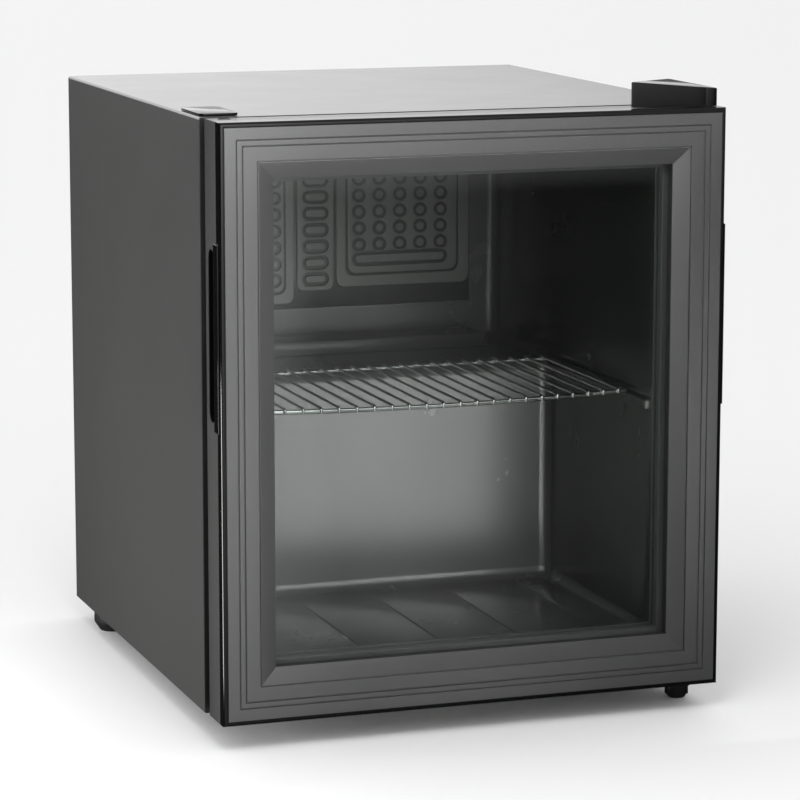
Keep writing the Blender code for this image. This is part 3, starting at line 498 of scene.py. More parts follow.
def mitred_frame(profile, low, high, front):
    """A closed moulding round a rectangle. Its profile is (inset, depth back from front)."""
    bm = bmesh.new()
    middle = (low + high) / 2
    inset, depth = profile[0]
    corners = ((low.x, low.z), (high.x, low.z), (high.x, high.z), (low.x, high.z))
    ring_verts = [
        bm.verts.new((
            x - math.copysign(inset, x - middle.x), front + depth, z - math.copysign(inset, z - middle.z)
        ))
        for x, z in corners
    ]
    first = [bm.edges.new((ring_verts[i], ring_verts[(i + 1) % 4])) for i in range(4)]
    loop = first
    for (was, before), (now, after) in zip(profile, profile[1:]):
        made = bmesh.ops.extrude_edge_only(bm, edges=loop)["geom"]
        for vert in (v for v in made if isinstance(v, bmesh.types.BMVert)):
            vert.co.x -= math.copysign(1, vert.co.x - middle.x) * (now - was)
            vert.co.z -= math.copysign(1, vert.co.z - middle.z) * (now - was)
            vert.co.y += after - before
        loop = [e for e in made if isinstance(e, bmesh.types.BMEdge)]
    bmesh.ops.bridge_loops(bm, edges=first + loop)
    bmesh.ops.recalc_face_normals(bm, faces=bm.faces)
    return bm


gloss_black = finish_material(
    "piano_black_plastic", (0.003, 0.003, 0.003), 0.10, 1200.0, 0.000008, 0.04, 0.0,
    Specular_IOR_Level=0.25,
)
satin_grey = finish_material(
    "satin_grey_trim", (0.150, 0.151, 0.151), 0.36, 1100.0, 0.00002, 0.05, 0.02, Metallic=0.75
)
door_low, door_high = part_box("door_front_frame")
door_front = door_low.y
nose = 0.0034
rim_deep = door_high.y - door_front
rim_profile = [(0.0, rim_deep - 0.0003), *arc((nose, nose), nose, 180, 270, 10)]
rim_profile += [
    (0.0038, 0.0004), (0.0038, 0.0030), (0.0300, 0.0034), (0.0430, 0.0064), (0.0430, 0.0075),
    (0.0022, 0.0075),
    (0.0022, rim_deep), (0.0003, rim_deep),
]
keep(
    mitred_frame(rim_profile, door_low, door_high, door_front),
    "black_door_rim", "door", "gloss_black", gloss_black, "door_front_frame", angle=40,
)


def groove(inset, half, deep):
    """A narrow V in the moulding's face, with softened shoulders."""
    return [
        (inset - half - 0.0002, 0.0), (inset - half, 0.0001), (inset - 0.0001, deep),
        (inset + 0.0001, deep), (inset + half, 0.0001), (inset + half + 0.0002, 0.0),
    ]


bevel_start, opening = 0.0311, 0.0450
trim_profile = [(0.0040, 0.0026), (0.0040, 0.0003), (0.0043, 0.0)]
trim_profile += groove(0.0140, 0.0006, 0.0011) + groove(0.0189, 0.0006, 0.0011)
trim_profile += [
    (bevel_start - 0.0007, 0.0), (bevel_start - 0.0004, 0.0002), (bevel_start - 0.0003, 0.0016),
    (bevel_start + 0.0003, 0.0016), (bevel_start + 0.0005, 0.0004), (bevel_start + 0.0008, 0.0003),
    (opening - 0.0003, 0.0050), (opening, 0.0053), (opening, 0.0066),
    (bevel_start, 0.0026),
]
keep(
    mitred_frame(trim_profile, door_low, door_high, door_front),
    "grey_door_trim", "door", "satin_trim", satin_grey, "door_trim", angle=25,
)

# ------------------------------------------------------------------ door body
# Behind the face is a folded steel band in the cabinet's grey, round all four sides. Finger grips
# are cut in both long sides, because the door can be hung either way round.

side_low, side_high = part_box("door_side_frame")
band_front, band_back = side_low.y - door_front, side_high.y - door_front
band_profile = [
    (0.0, band_front + 0.0003), (0.0003, band_front), (0.0025, band_front), (0.0025, 0.0400),
    (0.0340, 0.0400),
    (0.0340, 0.0300), (0.0496, 0.0300), (0.0500, 0.0304), (0.0500, 0.0321), (0.0496, 0.0325),
    (0.0370, 0.0325), (0.0370, band_back), (0.0016, band_back), (0.0004, band_back - 0.0005),
    (0.0, band_back - 0.0016),
]
band = keep(
    mitred_frame(band_profile, side_low, side_high, door_front),
    "grey_door_band", "door", "painted_steel", grey_paint, "door_side_frame", angle=40,
)


def cut_from(piece, cutters, angle=40):
    """Takes closed cutter meshes out of a piece, and applies the cut."""
    for cutter in cutters:
        holder = bpy.data.objects.new("cutter", cutter)
        bpy.context.scene.collection.objects.link(holder)
        modifier = piece.modifiers.new("cut", "BOOLEAN")
        modifier.object = holder
        evaluated = piece.evaluated_get(bpy.context.evaluated_depsgraph_get())
        mesh = bpy.data.meshes.new_from_object(evaluated)
        piece.modifiers.clear()
        piece.data = mesh
        bpy.data.objects.remove(holder)
    piece.data.shade_smooth()
    piece.data.set_sharp_from_angle(angle=math.radians(angle))


def mesh_from(bm, name="shape"):
    """A mesh from a bmesh, for a cutter or for joining."""
    mesh = bpy.data.meshes.new(name)
    bm.to_mesh(mesh)
    bm.free()
    return mesh


def block_mesh(low, high, radius=0.0, segments=3):
    """A box's mesh, for a cutter or for joining."""
    bm = bmesh.new()
    add_block(bm, low, high, radius, segments)
    return mesh_from(bm)


def slot_mesh(side, shrink, deep, outer):
    """A finger slot with round ends, sunk into the door's side from outer to deep."""
    left, right = sorted((side * outer, side * deep))
    bm = bmesh.new()
    outline = stadium(0, 0, slot_wide - 2 * shrink, slot_tall - 2 * shrink, 8)
    face = bm.faces.new([bm.verts.new((left, slot_y + a, slot_z + b)) for a, b in outline])
    grown = bmesh.ops.extrude_face_region(bm, geom=[face])["geom"]
    bmesh.ops.translate(
        bm, verts=[v for v in grown if isinstance(v, bmesh.types.BMVert)], vec=(right - left, 0, 0)
    )
    bmesh.ops.recalc_face_normals(bm, faces=bm.faces)
    return bm


grip_low, grip_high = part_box("left_grip")
slot_y, slot_z = door_front + 0.0262, (grip_low.z + grip_high.z) / 2
slot_wide, slot_tall = 0.0174, grip_high.z - grip_low.z - 0.0110
lip_front, lip_back = door_front + 0.0032, door_front + 0.0155
cut_from(band, [
    mesh_from(slot_mesh(side, 0.0, door_high.x - 0.004, door_high.x + 0.002)) for side in (-1, 1)
])

for side, label in ((-1, "left"), (1, "right")):
    cup = slot_mesh(side, 0.0003, door_high.x - 0.0150, door_high.x - 0.0003)
    outer_face = max(cup.faces, key=lambda f: side * f.calc_center_median().x)
    bmesh.ops.delete(cup, geom=[outer_face], context="FACES")
    floor_edges = [
        e for e in cup.edges
        if all(side * v.co.x < door_high.x - 0.0145 for v in e.verts)
    ]
    round_edges(cup, floor_edges, 0.0035, 4)
    thicken(cup, 0.0010)
    near, far = sorted((side * (door_high.x + 0.0003), side * abs(grip_low.x)))
    add_block(cup, (near, lip_front, grip_low.z), (far, lip_back, grip_high.z), 0.0005, 3)
    near, far = sorted((side * (door_high.x - 0.0050), side * (door_high.x + 0.0010)))
    add_block(
        cup, (near, lip_back - 0.0030, grip_low.z + 0.001), (far, lip_back - 0.0005, grip_high.z - 0.001)
    )
    keep(cup, f"{label}_finger_grip", "door", "gloss_black", gloss_black, f"{label}_grip", angle=40)

# ------------------------------------------------------------------ glazing
# Two panes of float glass with ground edges, a dark aluminium spacer between them, and a black
# bead that holds the front one. The rear edge of the reveal catches a thin line of light.

glass = bpy.data.materials.new("float_glass")
glass.use_nodes = True
tree = glass.node_tree
shader = tree.nodes["Principled BSDF"]
shader.inputs["Base Color"].default_value = (0.93, 0.95, 0.94, 1.0)
shader.inputs["Roughness"].default_value = 0.0
shader.inputs["IOR"].default_value = 1.5
shader.inputs["Transmission Weight"].default_value = 1.0
clear = tree.nodes.new("ShaderNodeBsdfTransparent")
clear.inputs["Color"].default_value = (0.88, 0.90, 0.89, 1.0)
rays = tree.nodes.new("ShaderNodeLightPath")
choose = tree.nodes.new("ShaderNodeMixShader")
through = math_node(tree, "MAXIMUM", rays.outputs["Is Shadow Ray"], rays.outputs["Is Diffuse Ray"])
tree.links.new(through, choose.inputs["Fac"])
tree.links.new(shader.outputs["BSDF"], choose.inputs[1])
tree.links.new(clear.outputs["BSDF"], choose.inputs[2])
tree.links.new(choose.outputs["Shader"], tree.nodes["Material Output"].inputs["Surface"])

for node, name in (("outer_pane", "outer_glass"), ("inner_pane", "inner_glass")):
    low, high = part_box(node)
    pane = bmesh.new()
    add_block(pane, low, high, 0.0006, 1)
    keep(pane, name, "door", "glass", glass, node, angle=20)

spacer_metal = finish_material(
    "dark_spacer", (0.085, 0.085, 0.084), 0.45, 1300.0, 0.00002, 0.05, 0.0, Metallic=0.5
)
low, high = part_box("glass_spacer")
near, far = low.y - door_front, high.y - door_front
spacer_in = 0.0488 - 0.0405
keep(
    mitred_frame(
        [
            (0.0, near), (spacer_in - 0.0004, near), (spacer_in, near + 0.0004),
            (spacer_in, far - 0.0004), (spacer_in - 0.0004, far), (0.0, far),
        ],
        low, high, door_front,
    ),
    "pane_spacer", "door", "spacer_metal", spacer_metal, "glass_spacer", angle=30,
)

seal_rubber = finish_material(
    "black_seal", (0.0035, 0.0035, 0.0035), 0.55, 800.0, 0.00004, 0.06, 0.0
)
low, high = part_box("glass_seal")
near, far = low.y - door_front, high.y - door_front
seal_in = 0.0017
keep(
    mitred_frame(
        [
            (0.0, far), (0.0, near), (seal_in - 0.0003, near), (seal_in, near + 0.0003),
            (seal_in, far - 0.0003), (seal_in - 0.0003, far),
        ],
        low, high, door_front,
    ),
    "glazing_bead", "door", "gasket_rubber", seal_rubber, "glass_seal", angle=30,
)

# ------------------------------------------------------------------ magnetic gasket
# The seal behind the door is extruded soft vinyl: a foot pressed into the door, a pleated
# bellows, and a hollow nose with a magnet strip inside; here the profile is built solid, without the hollow
# or the magnet. It is welded at its four mitred corners.

low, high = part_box("door_gasket")
base, nose_out = low.y - door_front, high.y - door_front
pleat = [
    (0.0000, base), (0.0195, base), (0.0195, base + 0.0012), (0.0182, base + 0.0019),
    (0.0140, base + 0.0030), (0.0135, base + 0.0036), (0.0140, base + 0.0042),
    (0.0152, base + 0.0056), (0.0155, base + 0.0062), (0.0155, nose_out - 0.0008),
    (0.0148, nose_out - 0.0001), (0.0143, nose_out), (0.0027, nose_out),
    (0.0020, nose_out - 0.0001), (0.0015, nose_out - 0.0008), (0.0015, base + 0.0062),
    (0.0018, base + 0.0056), (0.0036, base + 0.0042), (0.0040, base + 0.0036),
    (0.0036, base + 0.0030), (0.0008, base + 0.0019), (0.0, base + 0.0012),
]
keep(
    mitred_frame(pleat, low, high, door_front),
    "magnetic_gasket", "door", "gasket_rubber", seal_rubber, "door_gasket", "gasket_magnet", angle=50,
)

# ------------------------------------------------------------------ door pins and plugs
# Nylon bushes take the two hinge pins. The holes that the other hand would use are closed with
# pressed-in rectangular plugs, whose rims stand just proud of the door.


def turned(profile, place, steps=32, axis="Z"):
    """A solid of revolution as a mesh; its profile is (radius, height) from foot to top."""
    bm = bmesh.new()
    line = [bm.verts.new((radius, 0, height)) for radius, height in profile]
    edges = [bm.edges.new(pair) for pair in zip(line, line[1:])]
    bmesh.ops.spin(
        bm, geom=line + edges, cent=(0, 0, 0), axis=(0, 0, 1), angle=math.tau, steps=steps,
        use_merge=True,
    )
    bmesh.ops.remove_doubles(bm, verts=bm.verts, dist=1e-6)
    bmesh.ops.recalc_face_normals(bm, faces=bm.faces)
    turn = Matrix.Rotation(math.radians(-90 if axis == "Y" else 0), 4, "X")
    bmesh.ops.transform(bm, matrix=Matrix.Translation(place) @ turn, verts=bm.verts)
    return mesh_from(bm)


def plate_mesh(outline, bottom, top, radius=0.0, segments=2):
    """A flat outline of (x, y) points extruded upward, with its rims rounded."""
    bm = bmesh.new()
    face = bm.faces.new([bm.verts.new((x, y, bottom)) for x, y in outline])
    grown = bmesh.ops.extrude_face_region(bm, geom=[face])["geom"]
    raised = [v for v in grown if isinstance(v, bmesh.types.BMVert)]
    bmesh.ops.translate(bm, verts=raised, vec=(0, 0, top - bottom))
    bmesh.ops.recalc_face_normals(bm, faces=bm.faces)
    if radius:
        rims = [e for e in bm.edges if abs(e.verts[0].co.z - e.verts[1].co.z) < 1e-7]
        round_edges(bm, rims, radius, segments)
    return mesh_from(bm)


def assemble(name, body, slot, material, meshes, *nodes, angle=32):
    """Puts closed meshes together as one piece."""
    bm = bmesh.new()
    for mesh in meshes:
        bm.from_mesh(mesh)
        bpy.data.meshes.remove(mesh)
    return keep(bm, name, body, slot, material, *nodes, angle=angle)


moulded_black = finish_material(
    "moulded_black_plastic", (0.016, 0.016, 0.016), 0.42, 700.0, 0.00003, 0.08, 0.12
)
hinge_x, hinge_y = 0.2015, door_front + 0.035
bush_radius, bore, chamfer = 0.0065, 0.0044, 0.0005
for label in ("top", "bottom"):
    low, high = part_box(f"{label}_bush")
    tall = high.z - low.z
    sleeve = [
        (bore, 0.0), (bush_radius - chamfer, 0.0), (bush_radius, chamfer),
        (bush_radius, tall - chamfer), (bush_radius - chamfer, tall), (bore, tall), (bore, 0.0),
    ]
    assemble(f"{label}_pin_bush", "door", "matte_black", moulded_black,
             [turned(sleeve, (hinge_x, hinge_y, low.z), 28)], f"{label}_bush")
    low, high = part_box(f"{label}_hole_plug")
    outward = 1 if label == "top" else -1
    outer = high.z if label == "top" else low.z
    dish = sorted((outer - outward * 0.0012, outer + outward * 0.001))
    plug = assemble(f"{label}_plug", "door", "gloss_black", gloss_black,
                    [block_mesh(low, high, 0.0004, 2)], f"{label}_hole_plug")
    cut_from(plug, [
        block_mesh(
            (low.x + 0.0012, low.y + 0.0012, dish[0]), (high.x - 0.0012, high.y - 0.0012, dish[1]), 0.0003, 1
        )
    ])

# ------------------------------------------------------------------ hinges
# A steel plate with a riveted pin holds the door at the top and another at the bottom. The lower
# one is bright and shows under the door, with its two screws and a levelling foot through it.


def dress(node, material):
    """Gives a kept CAD node its finish."""
    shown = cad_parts[node].data
    shown.materials.clear()
    shown.materials.append(material)


zinc = finish_material(
    "bright_zinc_plate", (0.62, 0.63, 0.64), 0.24, 260.0, 0.00002, 0.10, 0.05, Metallic=1.0
)
pin_radius, pin_sink = 0.0040, 0.0120


def hinge_pin(foot, head):
    """The pin of a hinge, with a lead-in at its free end and a riveted button at its fixed one."""
    along = 1 if head > foot else -1
    tall = abs(head - foot)
    shape = [
        (0.0, 0.0), (pin_radius - 0.0008, 0.0), (pin_radius, 0.0010), (pin_radius, tall),
        (0.0055, tall), (0.0048, tall + 0.0010), (0.0, tall + 0.0012),
    ]
    return turned([(r, h * along) for r, h in shape], (hinge_x, hinge_y, foot), 28)


low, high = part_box("upper_hinge_plate")
upper_base, upper_top = high.z - 0.0025, high.z
plate = [
    *arc((hinge_x, hinge_y), 0.0090, 180, 360, 16),
    (high.x, high.y), (hinge_x + 0.003, high.y), (hinge_x - 0.021, -0.181), (low.x, -0.195),
]
assemble(
    "upper_hinge", "cabinet", "zinc_steel", zinc,
    [plate_mesh(plate, upper_base, upper_top, 0.0004), hinge_pin(door_high.z - pin_sink, upper_top - 0.001)],
    "upper_hinge_plate",
)
low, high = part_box("lower_hinge_plate")
lower_base, lower_top = low.z, low.z + 0.0025
ears = [
    *arc((hinge_x, hinge_y), 0.0105, 180, 360, 18),
    *arc((high.x - 0.004, high.y - 0.004), 0.004, 0, 90, 5),
    *arc((low.x + 0.004, high.y - 0.004), 0.004, 90, 180, 5),
    (low.x, -0.180),
]
bracket = assemble(
    "lower_hinge", "cabinet", "zinc_steel", zinc,
    [plate_mesh(ears, lower_base, lower_top, 0.0007, 3)], "lower_hinge_plate",
)
foot_x, foot_y = 0.1985, -0.1990
cut_from(bracket, [turned(
    [(0.0, 0.0), (0.0034, 0.0), (0.0034, 0.010), (0.0, 0.010)], (foot_x, foot_y, lower_base - 0.003), 24
)])
lower_pin = bmesh.new()
lower_pin.from_mesh(bracket.data)
lower_pin.from_mesh(turned(
    [
        (0.0, 0.0), (pin_radius, 0.0), (pin_radius, 0.0150), (pin_radius - 0.0008, 0.0160), (0.0, 0.0160)
    ],
    (hinge_x, hinge_y, lower_top - 0.002), 28,
))
lower_pin.to_mesh(bracket.data)
lower_pin.free()

screw_head = [
    (0.0, 0.0), (0.0042, 0.0), (0.0042, 0.0006), (0.0037, 0.0013), (0.0026, 0.0018), (0.0, 0.0020)
]
for label, way in (("upper", 1), ("lower", -1)):
    for number in (1, 2):
        node = f"{label}_hinge_screw_{number}"
        low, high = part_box(node)
        x, y = (low.x + high.x) / 2, (low.y + high.y) / 2
        seat = low.z if way > 0 else high.z
        screw = assemble(
            node.replace("hinge_screw", "pan_screw"), "cabinet", "zinc_steel", zinc,
            [turned([(r, way * h) for r, h in screw_head], (x, y, seat), 28)], node,
        )
        crown = seat + way * 0.0020
        for long_x, long_y in ((0.0021, 0.00045), (0.00045, 0.0021)):
            bottom, top = sorted((crown - way * 0.0011, crown + way * 0.001))
            cut_from(screw, [block_mesh((x - long_x, y - long_y, bottom), (x + long_x, y + long_y, top))])

low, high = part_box("lower_hinge_washer")
tall = high.z - low.z
assemble(
    "door_washer", "cabinet", "matte_black", moulded_black,
    [turned(
        [
            (bore, 0.0), (0.0082, 0.0), (0.0085, 0.0003), (0.0085, tall - 0.0003), (0.0082, tall),
            (bore, tall), (bore, 0.0),
        ],
        (hinge_x, hinge_y, low.z), 32,
    )],
    "lower_hinge_washer",
)

# ------------------------------------------------------------------ hinge cap
# A glossy black moulding hides the upper hinge. It is a wedge seen from above, its lid slopes
# down to the right, and its front right corner is round.

low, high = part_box("hinge_cover")
cap_bottom, cap_top = low.z, high.z
cap_right_top = cap_top - 0.0064
corner_radius = 0.0075
cap_outline = [
    (0.1930, -0.2352), *arc((0.2060, -0.2270), corner_radius, 235, 350, 10),
    (0.2134, -0.1350), (0.2090, -0.1350),
    *arc((low.x + 0.0014, -0.2261), 0.0014, 140, 260, 5),
]
cap = bmesh.new()
face = cap.faces.new([cap.verts.new((x, y, cap_bottom)) for x, y in cap_outline])
grown = bmesh.ops.extrude_face_region(cap, geom=[face])["geom"]
for vert in (v for v in grown if isinstance(v, bmesh.types.BMVert)):
    along = (vert.co.x - low.x) / (high.x - low.x)
    vert.co.z = cap_top + (cap_right_top - cap_top) * along
bmesh.ops.recalc_face_normals(cap, faces=cap.faces)
crown = [
    e for e in cap.edges if all(v.co.z > cap_bottom + 0.005 for v in e.verts)
]
round_edges(cap, crown, 0.0011, 4)
keep(cap, "upper_hinge_cap", "cabinet", "gloss_black", gloss_black, "hinge_cover", angle=30)
cut_from(bpy.data.objects["upper_hinge_cap"], [plate_mesh(
    [
        (0.1450, -0.2250), (0.1925, -0.2315), (0.2110, -0.2310), (0.2122, -0.1400), (0.2085, -0.1400),
    ],
    cap_bottom - 0.003, cap_bottom + 0.0100,
)], angle=30)

low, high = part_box("screw_hole_cover")
cover_corner = 0.006
cover_outline = rounded_field(low.x, high.x, low.y, high.y, cover_corner, 8)
assemble("spare_screw_cover", "cabinet", "gloss_black", gloss_black,
         [plate_mesh(cover_outline, low.z, high.z, 0.0005, 3)], "screw_hole_cover", angle=35)

# ------------------------------------------------------------------ feet
# The two front feet screw in and out to level the fridge, one of them through the lower hinge.
# The rear ones are plain moulded pads.

foot_plastic = finish_material(
    "glossy_foot_plastic", (0.012, 0.012, 0.012), 0.22, 900.0, 0.00002, 0.08, 0.10, Coat_Weight=0.5
)
for label in ("left", "right"):
    low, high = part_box(f"front_{label}_foot")
    x, y = (low.x + high.x) / 2, (low.y + high.y) / 2
    seat = 0.0197 if label == "left" else 0.0169
    foot = [
        (0.0, 0.0), (0.0066, 0.0), (0.0074, 0.0006), (0.0085, 0.0026), (0.0092, seat - 0.0086),
        (0.0094, seat - 0.0076), (0.0108, seat - 0.0068), (0.0121, seat - 0.0052),
        (0.0125, seat - 0.0042), (0.0125, seat - 0.0008), (0.0120, seat), (0.0030, seat),
        (0.0030, high.z - 0.0004), (0.0026, high.z), (0.0, high.z),
    ]
    ribs = [
        turned([(0.0, 0.0), (0.0011, 0.0), (0.0011, 0.0060), (0.0, 0.0060)],
               (x + 0.0090 * math.cos(t), y + 0.0090 * math.sin(t), 0.0030), 8)
        for t in [math.tau * i / 12 for i in range(12)]
    ]
    assemble(f"levelling_foot_{label}", f"front_{label}_leg", "gloss_black", foot_plastic,
             [turned(foot, (x, y, 0), 40), *ribs], f"front_{label}_foot")
for label in ("left", "right"):
    low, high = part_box(f"rear_{label}_foot")
    x, y = (low.x + high.x) / 2, (low.y + high.y) / 2
    pad = [
        (0.0, 0.0006), (0.0060, 0.0006), (0.0066, 0.0), (0.0110, 0.0), (0.0122, 0.0008),
        (0.0164, 0.0072), (0.0170, 0.0088), (0.0170, high.z - 0.0014), (0.0165, high.z), (0.0, high.z),
    ]
    assemble(f"rear_foot_{label}", "cabinet", "matte_black", moulded_black,
             [turned(pad, (x, y, 0), 40)], f"rear_{label}_foot")

# ------------------------------------------------------------------ cabinet core
# Galvanised sheet closes the bottom, the compressor's bay and the back. Rigid foam fills the
# walls, and the steel ring that the door's magnet grips goes round the liner's mouth.

galvanised = bpy.data.materials.new("galvanised_sheet")
galvanised.use_nodes = True
tree = galvanised.node_tree
shader = tree.nodes["Principled BSDF"]
shader.inputs["Metallic"].default_value = 0.9
where = tree.nodes.new("ShaderNodeTexCoord").outputs["Object"]
spangle = tree.nodes.new("ShaderNodeTexVoronoi")
spangle.inputs["Scale"].default_value = 130.0
tree.links.new(where, spangle.inputs["Vector"])
shade = tree.nodes.new("ShaderNodeMapRange")
shade.inputs["To Min"].default_value = 0.30
shade.inputs["To Max"].default_value = 0.52
split = tree.nodes.new("ShaderNodeSeparateColor")
tree.links.new(spangle.outputs["Color"], split.inputs["Color"])
tree.links.new(split.outputs[0], shade.inputs["Value"])
tree.links.new(shade.outputs["Result"], shader.inputs["Roughness"])
tone = tree.nodes.new("ShaderNodeMix")
tone.data_type = "RGBA"
tone.inputs["A"].default_value = (0.36, 0.37, 0.38, 1.0)
tone.inputs["B"].default_value = (0.50, 0.51, 0.52, 1.0)
tree.links.new(split.outputs[1], tone.inputs["Factor"])
tree.links.new(tone.outputs["Result"], shader.inputs["Base Color"])

black_enamel = finish_material(
    "black_enamel", (0.007, 0.007, 0.007), 0.34, 420.0, 0.00004, 0.10, 0.08
)
foam = finish_material("polyurethane_foam", (0.62, 0.50, 0.26), 0.85, 260.0, 0.0004, 0.08, 0.0)
for node, material in (
    ("base_plate", galvanised), ("compressor_bulkhead", galvanised), ("thermostat", galvanised),
    ("front_flange", black_enamel), ("foam_insulation", foam),
):
    dress(node, material)

low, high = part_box("back_panel")
back = bmesh.new()
add_block(back, low, (high.x, high.y, high.z), 0.0002, 1)
swages = 5
for i in range(swages):
    z = low.z + (high.z - low.z) * (i + 0.5) / swages
    across = high.x - 0.030
    rib = pressed_relief(f"swage_{i}", [stadium(0, z, 2 * across, 0.016, 8)], high.y - 0.0004, 0.0022, 0.0009)
    rib.transform(Matrix.Translation((0, 0.0010, 0)))
    back.from_mesh(rib)
    bpy.data.meshes.remove(rib)
keep(back, "swaged_back", "cabinet", "zinc_steel", galvanised, "back_panel", angle=40)

# ------------------------------------------------------------------ melt water
# Frost that melts off the plate drips into a gutter, runs down a tube through the foam, and dries
# off in a pan above the warm compressor.

low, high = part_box("drip_gutter")
trough_wall = 0.003
gutter = assemble("melt_gutter", "cabinet", "liner_plastic", liner_plastic,
                  [block_mesh(low, high, 0.0012, 3)], "drip_gutter")
drain_y = 0.165
cut_from(gutter, [
    block_mesh(
        (low.x + trough_wall, low.y + trough_wall, 0.2555),
        (high.x - trough_wall, high.y - trough_wall, high.z + 0.02), 0.002, 3,
    ),
    turned([(0.0, 0.0), (0.0035, 0.0), (0.0035, 0.06), (0.0, 0.06)], (0, drain_y, 0.23), 24),
])
low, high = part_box("drain_tube")
tall = high.z - low.z
hose = [
    (0.0045, 0.0), (0.0059, 0.0), (0.0062, 0.0003), (0.0062, tall - 0.0003), (0.0059, tall),
    (0.0045, tall), (0.0045, 0.0),
]
assemble("drain_hose", "cabinet", "matte_black", moulded_black,
         [turned(hose, (0, drain_y, low.z), 28)], "drain_tube")
low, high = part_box("evaporation_pan")
pan = assemble("melt_pan", "cabinet", "matte_black", moulded_black,
               [block_mesh(low, high, 0.004, 3)], "evaporation_pan")
cut_from(pan, [block_mesh(
    (low.x + 0.002, low.y + 0.002, low.z + 0.002), (high.x - 0.002, high.y - 0.002, high.z + 0.02),
    0.003, 3,
)])
for side in ("left", "right"):
    low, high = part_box(f"evaporator_{side}_spacer")
    strip = [block_mesh(low, high, 0.0008, 2)]
    assemble(f"plate_strip_{side}", "cabinet", "matte_black", moulded_black, strip,
             f"evaporator_{side}_spacer")

# ------------------------------------------------------------------ compressor
# A hermetic pot, welded round its middle from two drawn shells, stands on a base plate and four
# rubber grommets. Its relay box is on the left.

low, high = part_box("compressor_pot")
pot_x, pot_y = (low.x + high.x) / 2, (low.y + high.y) / 2
seam, bead, drum = 0.108, 0.0595, 0.0555
dome = [
    (drum * math.sin(t), 0.128 + 0.044 * math.cos(t))
    for t in [math.radians(90 - 7.5 * i) for i in range(13)]
]
bowl = [
    (0.054 * math.cos(t), 0.072 - 0.024 * math.sin(t))
    for t in [math.radians(82 - 8.2 * i) for i in range(11)]
]
pot = [
    (0.0, low.z), (0.030, low.z), (0.033, 0.0490), *bowl, (drum - 0.0002, seam - 0.0050),
    (bead - 0.0012, seam - 0.0040), (bead, seam - 0.0024), (bead, seam + 0.0024),
    (bead - 0.0012, seam + 0.0036), (drum, seam + 0.0048), *dome,
]
assemble("hermetic_pot", "cabinet", "matte_black", black_enamel,
         [turned(pot, (pot_x, pot_y, 0), 64)], "compressor_pot", angle=30)
low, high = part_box("compressor_base")
foot_plate = assemble(
    "pot_base", "cabinet", "matte_black", black_enamel,
    [plate_mesh(rounded_field(low.x, high.x, low.y, high.y, 0.012), low.z, high.z, 0.0005)],
    "compressor_base",
)
for number in range(1, 5):
    node = f"compressor_grommet_{number}"
    low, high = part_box(node)
    x, y = (low.x + high.x) / 2, (low.y + high.y) / 2
    cut_from(foot_plate, [turned(
        [(0.0, 0.0), (0.0065, 0.0), (0.0065, 0.03), (0.0, 0.03)], (x, y, 0.025), 24
    )])
    grommet = [
        (0.0, low.z), (0.0096, low.z), (0.0100, low.z + 0.0006), (0.0088, 0.0265), (0.0085, 0.0300),
        (0.0088, 0.0335), (0.0098, 0.0370), (0.0098, 0.0381), (0.0060, 0.0381), (0.0060, 0.0416),
        (0.0078, 0.0416), (0.0080, 0.0424), (0.0076, 0.0454), (0.0066, high.z), (0.0, high.z),
    ]
    assemble(f"rubber_grommet_{number}", "cabinet", "gasket_rubber", seal_rubber,
             [turned(grommet, (x, y, 0), 32)], node)
low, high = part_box("terminal_box")
lid_gap = 0.0007
relay = assemble("relay_box", "cabinet", "matte_black", moulded_black,
                 [block_mesh(low, high, 0.003, 3)], "terminal_box")
cut_from(relay, [block_mesh(
    (low.x + 0.016, low.y - 0.01, low.z - 0.01), (low.x + 0.016 + lid_gap, low.y + 0.0008, high.z + 0.01)
), block_mesh(
    (low.x + 0.016, high.y - 0.0008, low.z - 0.01), (low.x + 0.016 + lid_gap, high.y + 0.01, high.z + 0.01)
), block_mesh(
    (low.x + 0.016, low.y - 0.01, high.z - 0.0008), (low.x + 0.016 + lid_gap, high.y + 0.01, high.z + 0.01)
)])

# ------------------------------------------------------------------ refrigerant lines
# Copper lines run from the pot to the coil and back through the drier and the capillary. They
# are bent cold, and have dulled from handling and heat.

copper = finish_material(
    "dulled_copper", (0.46, 0.20, 0.11), 0.30, 90.0, 0.00003, 0.20, 0.10, Metallic=1.0
)
bay_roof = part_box("suction_line")[1].z
suction = bent_line(
    [(0.052, 0.112, 0.140), (0.072, 0.100, 0.150), (0.120, 0.100, 0.165), (0.120, 0.100, bay_roof)], 0.015, 8
)
wire_piece("suction_pipe", [(suction, 0.0032)], "cabinet", "copper", copper, "suction_line")
discharge = bent_line(
    [
        (0.068, 0.186, 0.140), (0.095, 0.205, 0.140), (0.160, 0.205, 0.150), (0.176, 0.222, 0.180),
        (0.176, 0.2355, 0.205), (0.176, 0.2355, 0.2435),
    ],
    0.012, 8,
)
wire_piece("discharge_pipe", [(discharge, 0.0025)], "cabinet", "copper", copper, "discharge_line")
capillary = bent_line(
    [
        (-0.165, 0.2300, 0.1107), (-0.165, 0.2300, 0.095), (-0.150, 0.222, 0.085), (-0.135, 0.170, 0.100),
        (-0.135, 0.105, 0.130), (-0.135, 0.105, bay_roof),
    ],
    0.014, 8,
)
wire_piece("capillary", [(capillary, 0.0012)], "cabinet", "copper", copper, "capillary_tube")
low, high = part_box("filter_drier")
drier = [
    (0.0, low.z), (0.0030, low.z + 0.0010), (0.0034, low.z + 0.0040), (0.0085, low.z + 0.0095),
    (0.0085, low.z + 0.0200), (0.0080, low.z + 0.0206), (0.0080, low.z + 0.0218),
    (0.0085, low.z + 0.0224), (0.0085, high.z - 0.0100), (0.0034, high.z - 0.0040),
    (0.0030, high.z - 0.0010), (0.0, high.z),
]
